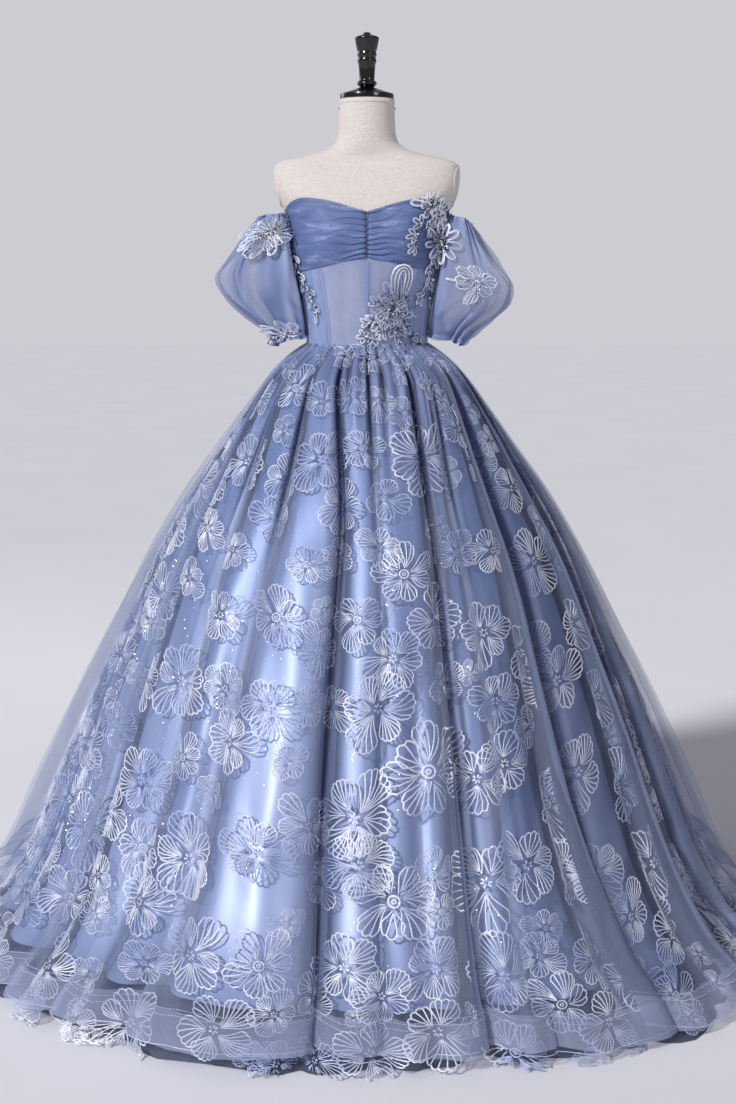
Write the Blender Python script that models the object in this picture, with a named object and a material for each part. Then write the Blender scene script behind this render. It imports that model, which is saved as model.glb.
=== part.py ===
# A ball gown standing on a limbless dress form. Metres, +Z up, the front faces -Y.
# Left and right are the wearer's, so +X is the left side. Angles are in degrees from the
# front centre line, positive towards +X, and a rise is a height above the waist seam.
import bmesh
import bpy
import math
from mathutils import Vector

for thing in list(bpy.data.objects):
    bpy.data.objects.remove(thing, do_unlink=True)

# Main sizes
WAIST_HEIGHT = 1.148
SEAM_GAP = 0.0003
BODICE_GAP = 0.0022
PANEL_WALL = 0.0014
PLEAT_HEIGHT = 0.0022
PLEATS_PER_CUP = 7
PRINCESS_ANGLE = 38.0
SIDE_SEAM_ANGLE = 88.0
SKIRT_WALL = 0.0012
SLEEVE_WALL = 0.0011
BRAID_WIDTH = 0.057
BRAID_WALL = 0.0011
APPLIQUE_WALL = 0.0012
CHANNEL_WIDTH = 0.008
ZIP_WIDTH = 0.013
POLE_RADIUS = 0.016
BASE_RADIUS = 0.170
BASE_HEIGHT = 0.020

# Dress form sections: rise, half width, depth to the front, depth to the back, squareness
FORM_SECTIONS = (
    (-0.230, 0.118, 0.082, 0.096, 2.0),
    (-0.222, 0.148, 0.103, 0.118, 2.1),
    (-0.200, 0.163, 0.113, 0.131, 2.2),
    (-0.130, 0.162, 0.111, 0.129, 2.2),
    (-0.065, 0.141, 0.101, 0.110, 2.1),
    (-0.030, 0.124, 0.094, 0.097, 2.0),
    (0.000, 0.1180, 0.0915, 0.0920, 2.0),
    (0.040, 0.1210, 0.0955, 0.0930, 2.0),
    (0.085, 0.1285, 0.1010, 0.0965, 2.1),
    (0.130, 0.1385, 0.1075, 0.1000, 2.1),
    (0.170, 0.1455, 0.1120, 0.1025, 2.1),
    (0.210, 0.1510, 0.1135, 0.1040, 2.1),
    (0.245, 0.1580, 0.1070, 0.1030, 2.2),
    (0.272, 0.1700, 0.0960, 0.0990, 2.4),
    (0.300, 0.1790, 0.0830, 0.0930, 2.6),
    (0.325, 0.1815, 0.0690, 0.0820, 2.7),
    (0.344, 0.1810, 0.0560, 0.0660, 2.7),
    (0.355, 0.1700, 0.0500, 0.0580, 2.6),
    (0.362, 0.1400, 0.0490, 0.0560, 2.4),
    (0.370, 0.1050, 0.0500, 0.0550, 2.2),
    (0.380, 0.0760, 0.0520, 0.0550, 2.1),
    (0.393, 0.0610, 0.0540, 0.0550, 2.0),
    (0.412, 0.0560, 0.0545, 0.0550, 2.0),
    (0.4735, 0.0535, 0.0535, 0.0535, 2.0),
)
BUST = {"angle": 29.0, "spread": 17.0, "rise": 0.205, "height": 0.050, "fullness": 0.013}

# Bodice edges: angle from the front, rise of the neckline, rise of the cup's lower edge
BODICE_EDGES = (
    (0.0, 0.254, 0.166),
    (12.0, 0.267, 0.161),
    (25.0, 0.277, 0.153),
    (40.0, 0.281, 0.146),
    (55.0, 0.274, 0.141),
    (72.0, 0.259, 0.137),
    (88.0, 0.248, 0.134),
    (120.0, 0.234, 0.134),
    (180.0, 0.226, 0.134),
)

# Skirt outline: drop below the waist, radius on the fold crests, front and back reach
SKIRT_OUTLINE = (
    (0.000, 0.1290, 1.00),
    (0.010, 0.1420, 1.00),
    (0.025, 0.1640, 1.00),
    (0.050, 0.1930, 1.00),
    (0.080, 0.2190, 1.00),
    (0.130, 0.2570, 1.00),
    (0.200, 0.3090, 1.00),
    (0.300, 0.3820, 1.00),
    (0.420, 0.4550, 1.00),
    (0.570, 0.5320, 1.00),
    (0.720, 0.6090, 1.00),
    (0.900, 0.6930, 1.01),
    (1.046, 0.7580, 1.06),
    (1.103, 0.8050, 1.09),
    (1.148, 0.8400, 1.09),
)

# Folds of the skirt: angle at the waist, at mid height and at the hem, depth, half width
SKIRT_FOLDS = (
    (-85.0, -61.0, -48.0, 0.050, 3.2),
    (-60.0, -42.0, -38.0, 0.034, 2.6),
    (-38.0, -27.0, -28.0, 0.042, 2.8),
    (-22.0, -8.0, -7.5, 0.068, 2.6),
    (2.0, 3.0, 2.5, 0.026, 2.0),
    (27.0, 18.5, 12.0, 0.060, 2.2),
    (44.0, 27.0, 21.0, 0.036, 2.4),
    (60.0, 40.0, 33.0, 0.075, 3.0),
    (80.0, 61.0, 48.0, 0.048, 3.2),
    (92.0, 77.0, 63.0, 0.058, 3.4),
    (103.0, 91.0, 79.0, 0.040, 3.4),
    (114.0, 105.0, 95.0, 0.062, 3.8),
    (125.0, 119.0, 111.0, 0.044, 3.4),
    (136.0, 133.0, 126.0, 0.056, 3.6),
    (147.0, 145.0, 141.0, 0.036, 3.2),
    (158.0, 157.0, 154.0, 0.064, 3.6),
    (169.0, 169.0, 168.0, 0.040, 3.2),
    (181.0, 182.0, 183.0, 0.056, 3.6),
    (193.0, 195.0, 197.0, 0.038, 3.2),
    (205.0, 209.0, 213.0, 0.066, 3.8),
    (217.0, 223.0, 228.0, 0.044, 3.4),
    (229.0, 237.0, 244.0, 0.058, 3.8),
    (241.0, 252.0, 262.0, 0.042, 3.4),
    (252.0, 267.0, 279.0, 0.062, 3.8),
    (264.0, 283.0, 297.0, 0.050, 3.6),
)
RIGHT_SEAM_FOLD = 23
LEFT_SEAM_FOLD = 10
FOLD_MID_DROP = 0.35
FULL_DROP = 1.103
BRAID_TOP = FULL_DROP - BRAID_WIDTH
GATHER = {"depth": 0.0045, "start": 0.004, "end": 0.270}

# Inward step of each skirt under the overskirt: drop, lace, lining, petticoat
LAYER_STEPS = (
    (0.000, 0.0023, 0.0046, 0.0069),
    (0.025, 0.0060, 0.0110, 0.0150),
    (0.080, 0.0100, 0.0180, 0.0250),
    (0.200, 0.0160, 0.0280, 0.0400),
    (0.420, 0.0250, 0.0430, 0.0610),
    (0.720, 0.0360, 0.0580, 0.0800),
    (1.000, 0.0440, 0.0660, 0.0920),
    (1.103, 0.0400, 0.0660, 0.0900),
    (1.136, 0.0320, 0.0660, 0.0480),
    (1.148, 0.0320, 0.0660, 0.0150),
)

# Skirts, outside first: column of the steps, share of the fold depth, share of the gathers,
# places of the wall's columns between two folds, and the drops of its rows
SKIRTS = {
    "overskirt": {
        "step": 0,
        "fold": 1.00,
        "gather": 1.0,
        "between": (0.0, 0.22, 0.50, 0.78),
        "drops": (SEAM_GAP, 0.025, 0.080, 0.200, 0.420, 0.720, 0.900, BRAID_TOP, FULL_DROP),
    },
    "lace_skirt": {
        "step": 1,
        "fold": 0.80,
        "gather": 0.5,
        "between": (0.0, 0.50),
        "drops": (SEAM_GAP, 0.025, 0.080, 0.200, 0.420, 0.720, 0.900, 1.046, 1.136),
    },
    "lining_skirt": {
        "step": 2,
        "fold": 0.70,
        "gather": 0.0,
        "between": (0.0, 0.50),
        "drops": (SEAM_GAP, 0.025, 0.080, 0.200, 0.420, 0.720, 0.900, 1.022),
    },
    "petticoat": {
        "step": 3,
        "fold": 0.70,
        "gather": 0.0,
        "between": (0.0, 0.50),
        "drops": (SEAM_GAP, 0.025, 0.080, 0.200, 0.420, 0.720, 0.900, 1.103, 1.136, WAIST_HEIGHT),
    },
}
SCALLOP_DEPTH = 0.020

# Sleeve rings: rise at the body side, rise at the outer side, reach from the middle, half depth
SLEEVE_RINGS = (
    (0.256, 0.247, 0.2200, 0.050),
    (0.222, 0.206, 0.2500, 0.062),
    (0.180, 0.166, 0.2740, 0.070),
    (0.140, 0.128, 0.2920, 0.074),
    (0.102, 0.090, 0.2800, 0.070),
    (0.068, 0.052, 0.2420, 0.060),
    (0.038, 0.020, 0.2060, 0.049),
    (0.014, -0.004, 0.1960, 0.047),
)
SLEEVE_COLUMNS = 18
SLEEVE_RIPPLE = 0.0016
SLEEVE_BODY_GAP = 0.0056

# Openwork flowers on the bodice: name, angle, rise, half width, half height, turn, distance out
BODICE_FLOWERS = (
    ("applique_shoulder_left", 60.0, 0.215, 0.044, 0.060, 20.0, 0.0064),
    ("applique_side_right", -62.0, 0.112, 0.026, 0.056, 8.0, 0.0062),
    ("applique_waist", 17.0, 0.076, 0.040, 0.066, -12.0, 0.0062),
)
# Openwork flowers on the sleeves: name, side, place round the sleeve, ring, half width, height, turn
SLEEVE_FLOWERS = (
    ("applique_shoulder_right", -1, -94.0, 1.15, 0.036, 0.044, 30.0),
    ("applique_cuff_right", -1, -90.0, 6.15, 0.026, 0.022, 10.0),
    ("applique_sleeve_left", 1, -94.0, 3.15, 0.036, 0.034, -15.0),
)

# Turned finial above the neck cap: rise, radius
FINIAL_PROFILE = (
    (0.4965, 0.0135),
    (0.4990, 0.0150),
    (0.5020, 0.0188),
    (0.5055, 0.0193),
    (0.5085, 0.0165),
    (0.5110, 0.0147),
    (0.5415, 0.0166),
    (0.5450, 0.0182),
    (0.5490, 0.0182),
    (0.5530, 0.0168),
    (0.5565, 0.0187),
    (0.5605, 0.0187),
    (0.5635, 0.0178),
    (0.5665, 0.0193),
    (0.5900, 0.0234),
    (0.5920, 0.0222),
    (0.5970, 0.0075),
    (0.6008, 0.0045),
)
CAP_PROFILE = (
    (0.4738, 0.0512),
    (0.4760, 0.0525),
    (0.4822, 0.0525),
    (0.4850, 0.0490),
    (0.4925, 0.0240),
    (0.4962, 0.0150),
)

gown = bpy.data.collections.new("ball_gown_on_dress_form")
bpy.context.scene.collection.children.link(gown)


def finish(name, colour, roughness, metallic=0.0):
    """One plain material."""
    slot = bpy.data.materials.new(name)
    slot.use_nodes = True
    shader = slot.node_tree.nodes["Principled BSDF"]
    shader.inputs["Base Color"].default_value = (colour[0], colour[1], colour[2], 1.0)
    shader.inputs["Roughness"].default_value = roughness
    shader.inputs["Metallic"].default_value = metallic
    return slot


linen = finish("linen", (0.78, 0.74, 0.66), 0.9)
black_lacquer = finish("black_lacquer", (0.012, 0.012, 0.014), 0.18)
stand_metal = finish("stand_metal", (0.20, 0.20, 0.21), 0.35, 1.0)
blue_tulle = finish("blue_tulle", (0.24, 0.32, 0.52), 0.75)
lavender_mesh = finish("lavender_mesh", (0.38, 0.38, 0.48), 0.8)
sleeve_tulle = finish("sleeve_tulle", (0.33, 0.37, 0.52), 0.8)
overskirt_tulle = finish("overskirt_tulle", (0.42, 0.50, 0.68), 0.7)
lace_net = finish("lace_net", (0.60, 0.68, 0.82), 0.75)
satin = finish("satin", (0.30, 0.42, 0.68), 0.35)
dark_net = finish("dark_net", (0.05, 0.06, 0.10), 0.85)
horsehair_braid = finish("horsehair_braid", (0.42, 0.42, 0.55), 0.5)
silver_cord = finish("silver_cord", (0.75, 0.77, 0.84), 0.45)
zip_tape = finish("zip_tape", (0.20, 0.27, 0.45), 0.8)


def add_solid(name, corners, faces, slot):
    """A closed solid with its faces turned outwards."""
    mesh = bpy.data.meshes.new(name)
    mesh.from_pydata([tuple(corner) for corner in corners], [], faces)
    skin = bmesh.new()
    skin.from_mesh(mesh)
    bmesh.ops.recalc_face_normals(skin, faces=skin.faces)
    skin.to_mesh(mesh)
    skin.free()
    mesh.materials.append(slot)
    solid = bpy.data.objects.new(name, mesh)
    gown.objects.link(solid)
    return solid


def between_rows(rows, column, at):
    """A table's value at a place between its rows, by straight lines."""
    if at <= rows[0][0]:
        return rows[0][column]
    for low, high in zip(rows, rows[1:]):
        if at <= high[0]:
            share = (at - low[0]) / (high[0] - low[0])
            return low[column] + (high[column] - low[column]) * share
    return rows[-1][column]


def wall_faces(columns, rows, around):
    """Faces of a closed wall between an inner and an outer grid of columns by rows."""
    size = columns * rows
    last = columns if around else columns - 1
    faces = []
    for column in range(last):
        here = column * rows
        there = (column + 1) % columns * rows
        for row in range(rows - 1):
            faces.append((here + row, there + row, there + row + 1, here + row + 1))
            faces.append((
                size + here + row,
                size + here + row + 1,
                size + there + row + 1,
                size + there + row,
            ))
        end = rows - 1
        faces.append((here, size + here, size + there, there))
        faces.append((here + end, there + end, size + there + end, size + here + end))
    if not around:
        final = (columns - 1) * rows
        for row in range(rows - 1):
            faces.append((row, row + 1, size + row + 1, size + row))
            faces.append((
                final + row,
                size + final + row,
                size + final + row + 1,
                final + row + 1,
            ))
    return faces


def add_wall(name, inner, outer, slot, around=False):
    """A cloth wall from its inner and outer grids, each a list of columns."""
    corners = [point for column in inner for point in column]
    corners += [point for column in outer for point in column]
    faces = wall_faces(len(inner), len(inner[0]), around)
    return add_solid(name, corners, faces, slot)


def grid_normals(grid, around):
    """The direction out of a grid of columns at each of its points."""
    columns = len(grid)
    rows = len(grid[0])
    normals = []
    for column in range(columns):
        if around:
            ahead = grid[(column + 1) % columns]
            behind = grid[column - 1]
        else:
            ahead = grid[min(column + 1, columns - 1)]
            behind = grid[max(column - 1, 0)]
        line = []
        for row in range(rows):
            across = ahead[row] - behind[row]
            down = grid[column][min(row + 1, rows - 1)] - grid[column][max(row - 1, 0)]
            line.append(down.cross(across).normalized())
        normals.append(line)
    return normals


def moved_out(grid, normals, distance, level_rows=()):
    """The grid moved out by a distance. Level rows move sideways only, so edges stay flat."""
    moved = []
    for points, directions in zip(grid, normals):
        line = []
        for row, (point, direction) in enumerate(zip(points, directions)):
            if row in level_rows:
                level = Vector((direction.x, direction.y, 0.0))
                reach = max(level.length, 0.55)
                line.append(point + level.normalized() * (distance / reach))
            else:
                line.append(point + direction * distance)
        moved.append(line)
    return moved


# The dress form

def form_point(angle, rise):
    """A point on the form's skin."""
    half_width = between_rows(FORM_SECTIONS, 1, rise)
    front = between_rows(FORM_SECTIONS, 2, rise)
    back = between_rows(FORM_SECTIONS, 3, rise)
    power = 2.0 / between_rows(FORM_SECTIONS, 4, rise)
    turn = math.radians(angle)
    across = math.sin(turn)
    ahead = math.cos(turn)
    depth = front if ahead > 0 else back
    x = half_width * math.copysign(abs(across) ** power, across)
    y = -depth * math.copysign(abs(ahead) ** power, ahead)
    if ahead > 0:
        swing = (abs((angle + 180.0) % 360.0 - 180.0) - BUST["angle"]) / BUST["spread"]
        lift = (rise - BUST["rise"]) / BUST["height"]
        y -= BUST["fullness"] * math.exp(-swing * swing - lift * lift)
    return Vector((x, y, WAIST_HEIGHT + rise))


def form_out(angle, rise):
    """The level direction out of the form's skin."""
    along = form_point(angle + 1.0, rise) - form_point(angle - 1.0, rise)
    return Vector((along.y, -along.x, 0.0)).normalized()


def over_form(angle, rise, distance):
    """A point at a distance out from the form's skin."""
    return form_point(angle, rise) + form_out(angle, rise) * distance


def add_torso():
    """The padded body of the form, closed at the hips and at the top of the neck."""
    columns = 30
    corners = []
    for row in FORM_SECTIONS:
        for column in range(columns):
            corners.append(form_point(column * 360.0 / columns, row[0]))
    faces = []
    for row in range(len(FORM_SECTIONS) - 1):
        for column in range(columns):
            beside = (column + 1) % columns
            low = row * columns
            high = low + columns
            faces.append((low + column, low + beside, high + beside, high + column))
    top = (len(FORM_SECTIONS) - 1) * columns
    faces.append(tuple(range(columns)))
    faces.append(tuple(range(top, top + columns)))
    add_solid("form_torso", corners, faces, linen)


def add_turned(name, profile, steps, slot):
    """A turned piece: the profile swept once round the upright middle line."""
    corners = []
    for rise, radius in profile:
        for step in range(steps):
            turn = 2.0 * math.pi * step / steps
            corners.append((radius * math.cos(turn), radius * math.sin(turn), WAIST_HEIGHT + rise))
    faces = []
    for rim in range(len(profile) - 1):
        for step in range(steps):
            beside = (step + 1) % steps
            low = rim * steps
            faces.append((low + step, low + beside, low + steps + beside, low + steps + step))
    top = (len(profile) - 1) * steps
    faces.append(tuple(range(steps)))
    faces.append(tuple(range(top, top + steps)))
    add_solid(name, corners, faces, slot)


def add_arm_plate(name, side):
    """The thin oval plate that closes an arm hole of the form."""
    bpy.ops.mesh.primitive_cylinder_add(vertices=18, radius=1.0, depth=1.0)
    plate = bpy.context.object
    plate.name = name
    plate.data.name = name
    middle = Vector((side * 0.1851, 0.004, WAIST_HEIGHT + 0.308))
    for corner in plate.data.vertices:
        x = corner.co.z * 0.0080
        y = corner.co.y * 0.043
        z = corner.co.x * 0.042
        corner.co = middle + Vector((x, y, z))
    skin = bmesh.new()
    skin.from_mesh(plate.data)
    bmesh.ops.recalc_face_normals(skin, faces=skin.faces)
    skin.to_mesh(plate.data)
    skin.free()
    plate.data.materials.append(linen)
    for home in list(plate.users_collection):
        home.objects.unlink(plate)
    gown.objects.link(plate)


def add_round_bar(name, radius, low, high, steps, slot):
    """An upright round bar between two heights."""
    bpy.ops.mesh.primitive_cylinder_add(vertices=steps, radius=radius, depth=high - low)
    bar = bpy.context.object
    bar.name = name
    bar.data.name = name
    for corner in bar.data.vertices:
        corner.co.z += (low + high) / 2.0
    bar.data.materials.append(slot)
    for home in list(bar.users_collection):
        home.objects.unlink(bar)
    gown.objects.link(bar)


add_torso()
add_arm_plate("form_arm_plate_left", 1)
add_arm_plate("form_arm_plate_right", -1)
add_turned("form_neck_cap", CAP_PROFILE, 22, black_lacquer)
add_turned("form_finial", FINIAL_PROFILE, 14, black_lacquer)
pole_top = WAIST_HEIGHT + FORM_SECTIONS[0][0] - SEAM_GAP
add_round_bar("form_pole", POLE_RADIUS, BASE_HEIGHT + SEAM_GAP, pole_top, 12, stand_metal)
add_round_bar("form_base", BASE_RADIUS, 0.0, BASE_HEIGHT, 32, stand_metal)


# The bodice

def neckline(angle):
    """Rise of the bodice's top edge."""
    return between_rows(BODICE_EDGES, 1, abs((angle + 180.0) % 360.0 - 180.0))


def cup_edge(angle):
    """Rise of the lower edge of the draped cups."""
    return between_rows(BODICE_EDGES, 2, abs((angle + 180.0) % 360.0 - 180.0))


def seam_inset(angle):
    """Half a seam gap as an angle on the form."""
    return math.degrees(SEAM_GAP * 0.5 / form_point(angle, 0.1).to_2d().length)


def add_panel(name, start, end, columns, rows, low_edge, high_edge, slot):
    """A fitted panel between two seams and two edges."""
    first = start + seam_inset(start)
    last = end - seam_inset(end)
    inner = []
    outer = []
    for column in range(columns):
        angle = first + (last - first) * column / (columns - 1)
        low = low_edge(angle)
        high = high_edge(angle)
        rises = [low + (high - low) * row / (rows - 1) for row in range(rows)]
        inner.append([over_form(angle, rise, BODICE_GAP) for rise in rises])
        outer.append([over_form(angle, rise, BODICE_GAP + PANEL_WALL) for rise in rises])
    add_wall(name, inner, outer, slot)


def add_cup(name, side):
    """A cup of ruched tulle, its pleats running out from the front centre."""
    inner = []
    outer = []
    rows = PLEATS_PER_CUP * 2 + 1
    columns = 9
    start = seam_inset(0.0)
    end = SIDE_SEAM_ANGLE - seam_inset(SIDE_SEAM_ANGLE)
    for column in range(columns):
        angle = side * (start + (end - start) * column / (columns - 1))
        low = cup_edge(angle) + SEAM_GAP
        high = neckline(angle)
        inside = []
        outside = []
        for row in range(rows):
            rise = low + (high - low) * row / (rows - 1)
            raised = PLEAT_HEIGHT if row % 2 else 0.0
            inside.append(over_form(angle, rise, BODICE_GAP))
            outside.append(over_form(angle, rise, BODICE_GAP + PANEL_WALL + raised))
        inner.append(inside)
        outer.append(outside)
    add_wall(name, inner, outer, blue_tulle)


def waist_edge(angle):
    """The bodice ends on the waist seam."""
    return 0.0


add_cup("bust_drape_left", 1)
add_cup("bust_drape_right", -1)
add_panel("midriff_front_left", 0.0, PRINCESS_ANGLE, 4, 5, waist_edge, cup_edge, lavender_mesh)
add_panel("midriff_front_right", -PRINCESS_ANGLE, 0.0, 4, 5, waist_edge, cup_edge, lavender_mesh)
add_panel(
    "side_panel_left", PRINCESS_ANGLE, SIDE_SEAM_ANGLE, 5, 5, waist_edge, cup_edge, blue_tulle
)
add_panel(
    "side_panel_right", -SIDE_SEAM_ANGLE, -PRINCESS_ANGLE, 5, 5, waist_edge, cup_edge, blue_tulle
)
add_panel("back_panel_left", SIDE_SEAM_ANGLE, 180.0, 8, 6, waist_edge, neckline, blue_tulle)
add_panel(
    "back_panel_right", 180.0, 360.0 - SIDE_SEAM_ANGLE, 8, 6, waist_edge, neckline, blue_tulle
)


def add_strip(name, angle, width, high, thickness, slot):
    """A narrow upright strip that covers a seam of the bodice."""
    half_turn = math.degrees(width * 0.5 / 0.11)
    distance = BODICE_GAP + PANEL_WALL + SEAM_GAP
    inner = []
    outer = []
    for turn in (angle - half_turn, angle, angle + half_turn):
        rises = [0.002 + (high - 0.002) * row / 5 for row in range(6)]
        inner.append([over_form(turn, rise, distance) for rise in rises])
        outer.append([over_form(turn, rise, distance + thickness) for rise in rises])
    add_wall(name, inner, outer, slot)


channel_top = cup_edge(PRINCESS_ANGLE) - 0.003
add_strip("boning_centre", 0.0, CHANNEL_WIDTH, cup_edge(0.0) - 0.004, 0.0010, lavender_mesh)
add_strip("boning_left", PRINCESS_ANGLE, CHANNEL_WIDTH, channel_top, 0.0010, blue_tulle)
add_strip("boning_right", -PRINCESS_ANGLE, CHANNEL_WIDTH, channel_top, 0.0010, blue_tulle)
add_strip("back_zip", 180.0, ZIP_WIDTH, neckline(180.0) - 0.003, 0.0014, zip_tape)


# The sleeves

def sleeve_point(side, turn, ring, distance=0.0):
    """A point of a puff sleeve's middle surface. Turn 0 is outermost and -90 is the front."""
    whole = min(int(max(ring, 0.0)), len(SLEEVE_RINGS) - 2)
    share = ring - whole
    values = []
    for low, high in zip(SLEEVE_RINGS[whole], SLEEVE_RINGS[whole + 1]):
        values.append(low + (high - low) * share)
    inner_rise, outer_rise, reach, half_depth = values
    body_x = form_point(90.0, inner_rise).x + SLEEVE_BODY_GAP
    middle_x = (body_x + reach) / 2.0
    half_x = (reach - body_x) / 2.0 + distance
    middle_rise = (inner_rise + outer_rise) / 2.0
    half_rise = (outer_rise - inner_rise) / 2.0
    across = math.cos(math.radians(turn))
    along = math.sin(math.radians(turn))
    x = side * (middle_x + half_x * across)
    y = (half_depth + distance) * along
    return Vector((x, y, WAIST_HEIGHT + middle_rise + half_rise * across))


def add_sleeve(name, side):
    """A puff sleeve, open at the arm hole and at the cuff, with soft lengthwise gathers."""
    inner = []
    outer = []
    for column in range(SLEEVE_COLUMNS):
        turn = column * 360.0 / SLEEVE_COLUMNS
        ripple = 0.0 if column % 2 else SLEEVE_RIPPLE
        inside = []
        outside = []
        for ring in range(len(SLEEVE_RINGS)):
            inside.append(sleeve_point(side, turn, ring, -ripple - SLEEVE_WALL / 2.0))
            outside.append(sleeve_point(side, turn, ring, -ripple + SLEEVE_WALL / 2.0))
        inner.append(inside)
        outer.append(outside)
    add_wall(name, inner, outer, sleeve_tulle, around=True)


add_sleeve("sleeve_left", 1)
add_sleeve("sleeve_right", -1)


# The skirts

def fold_angle(fold, drop):
    """Angle of a fold's valley at a drop below the waist."""
    waist, middle, hem = fold[0], fold[1], fold[2]
    if drop < FOLD_MID_DROP:
        share = drop / FOLD_MID_DROP
        share = 1.0 - (1.0 - share) ** 1.8
        return waist + (middle - waist) * share
    share = min((drop - FOLD_MID_DROP) / (FULL_DROP - FOLD_MID_DROP), 1.1)
    return middle + (hem - middle) * share


def fold_depth(angle, drop):
    """How far the valleys of all folds reach in at an angle and a drop."""
    total = 0.0
    growth = max(drop / FULL_DROP, 0.0) ** 0.6
    for fold in SKIRT_FOLDS:
        away = (angle - fold_angle(fold, drop) + 180.0) % 360.0 - 180.0
        away /= fold[4] * (1.25 - 0.25 * min(drop / FULL_DROP, 1.0))
        if abs(away) < 3.5:
            total += fold[3] * growth * math.exp(-away * away)
    return total


def skirt_point(layer, interval, share, drop, inset=0.0):
    """A point of a skirt's middle surface between two folds. Inset moves it along the hem."""
    count = len(SKIRT_FOLDS)
    start = fold_angle(SKIRT_FOLDS[interval % count], drop)
    end = fold_angle(SKIRT_FOLDS[(interval + 1) % count], drop)
    span = (end - start) % 360.0
    angle = start + span * share
    radius = between_rows(SKIRT_OUTLINE, 1, drop)
    plan = between_rows(SKIRT_OUTLINE, 2, drop)
    turn = math.radians(angle)
    top = 1.0 / math.hypot(math.sin(turn) / 0.1180, math.cos(turn) / 0.0915)
    near_waist = max(1.0 - drop / 0.060, 0.0)
    crest = near_waist * (top + radius - 0.1180) + (1.0 - near_waist) * radius
    step = between_rows(LAYER_STEPS, layer["step"], drop) if layer["step"] else 0.0
    radius = crest - step - layer["fold"] * fold_depth(angle, drop)
    if GATHER["start"] < drop < GATHER["end"] and layer["gather"]:
        swell = math.sin(math.pi * (drop - GATHER["start"]) / (GATHER["end"] - GATHER["start"]))
        wave = math.cos(math.pi * 4.0 * share) * 0.5 + 0.5
        radius -= layer["gather"] * GATHER["depth"] * swell * wave
    turn += inset / radius
    facing = min(abs(math.cos(turn)) / 0.60, 1.0)
    facing = facing * facing * (3.0 - 2.0 * facing)
    stretch = 1.0 + (plan - 1.0) * facing
    return Vector((
        radius * stretch * math.sin(turn),
        -radius * stretch * math.cos(turn),
        WAIST_HEIGHT - drop,
    ))


def skirt_half(layer, first, last, scallops=False):
    """The middle surface of one half of a skirt from seam to seam, and its directions out."""
    count = len(SKIRT_FOLDS)
    intervals = (last - first) % count
    shares = layer["between"]
    stations = [(first - 1, shares[-1])]
    stations += [(first + place, share) for place in range(intervals) for share in shares]
    stations += [(last, 0.0), (last, shares[1])]
    grid = []
    for number, (interval, share) in enumerate(stations):
        inset = 0.0
        if number == 1:
            inset = SEAM_GAP / 2.0
        if number == len(stations) - 2:
            inset = -SEAM_GAP / 2.0
        line = []
        for place, drop in enumerate(layer["drops"]):
            if scallops and place == len(layer["drops"]) - 1 and share == 0.0:
                drop -= SCALLOP_DEPTH
            line.append(skirt_point(layer, interval, share, drop, inset))
        grid.append(line)
    normals = grid_normals(grid, False)
    for column in (1, len(stations) - 2):
        for row, point in enumerate(grid[column]):
            level = Vector((point.x, point.y, 0.0)).normalized()
            rise = normals[column][row].z
            normals[column][row] = Vector((level.x, level.y, rise)).normalized()
    return grid[1:-1], normals[1:-1]


def add_skirt(name, slot, scallops=False):
    """A skirt in two halves, front and back, joined in a fold at each side."""
    layer = SKIRTS[name]
    ends = (0, len(layer["drops"]) - 1)
    halves = (
        ("front", RIGHT_SEAM_FOLD, LEFT_SEAM_FOLD),
        ("back", LEFT_SEAM_FOLD, RIGHT_SEAM_FOLD),
    )
    for half, first, last in halves:
        grid, normals = skirt_half(layer, first, last, scallops)
        inner = moved_out(grid, normals, -SKIRT_WALL / 2.0, ends)
        outer = moved_out(grid, normals, SKIRT_WALL / 2.0, ends)
        add_wall(name + "_" + half, inner, outer, slot)


def add_hem_braid():
    """The stiff braid band on the outside of the overskirt's hem, in two halves."""
    layer = SKIRTS["overskirt"]
    halves = (
        ("front", RIGHT_SEAM_FOLD, LEFT_SEAM_FOLD),
        ("back", LEFT_SEAM_FOLD, RIGHT_SEAM_FOLD),
    )
    last_row = len(layer["drops"]) - 1
    for half, first, last in halves:
        grid, normals = skirt_half(layer, first, last)
        start = SKIRT_WALL / 2.0 + SEAM_GAP
        inner = moved_out(grid, normals, start, (last_row,))
        outer = moved_out(grid, normals, start + BRAID_WALL, (last_row,))
        inner = [column[-2:] for column in inner]
        outer = [column[-2:] for column in outer]
        add_wall("hem_braid_" + half, inner, outer, horsehair_braid)


add_skirt("overskirt", overskirt_tulle)
add_hem_braid()
add_skirt("lace_skirt", lace_net, scallops=True)
add_skirt("lining_skirt", satin)
add_skirt("petticoat", dark_net)


# The openwork flowers

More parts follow.
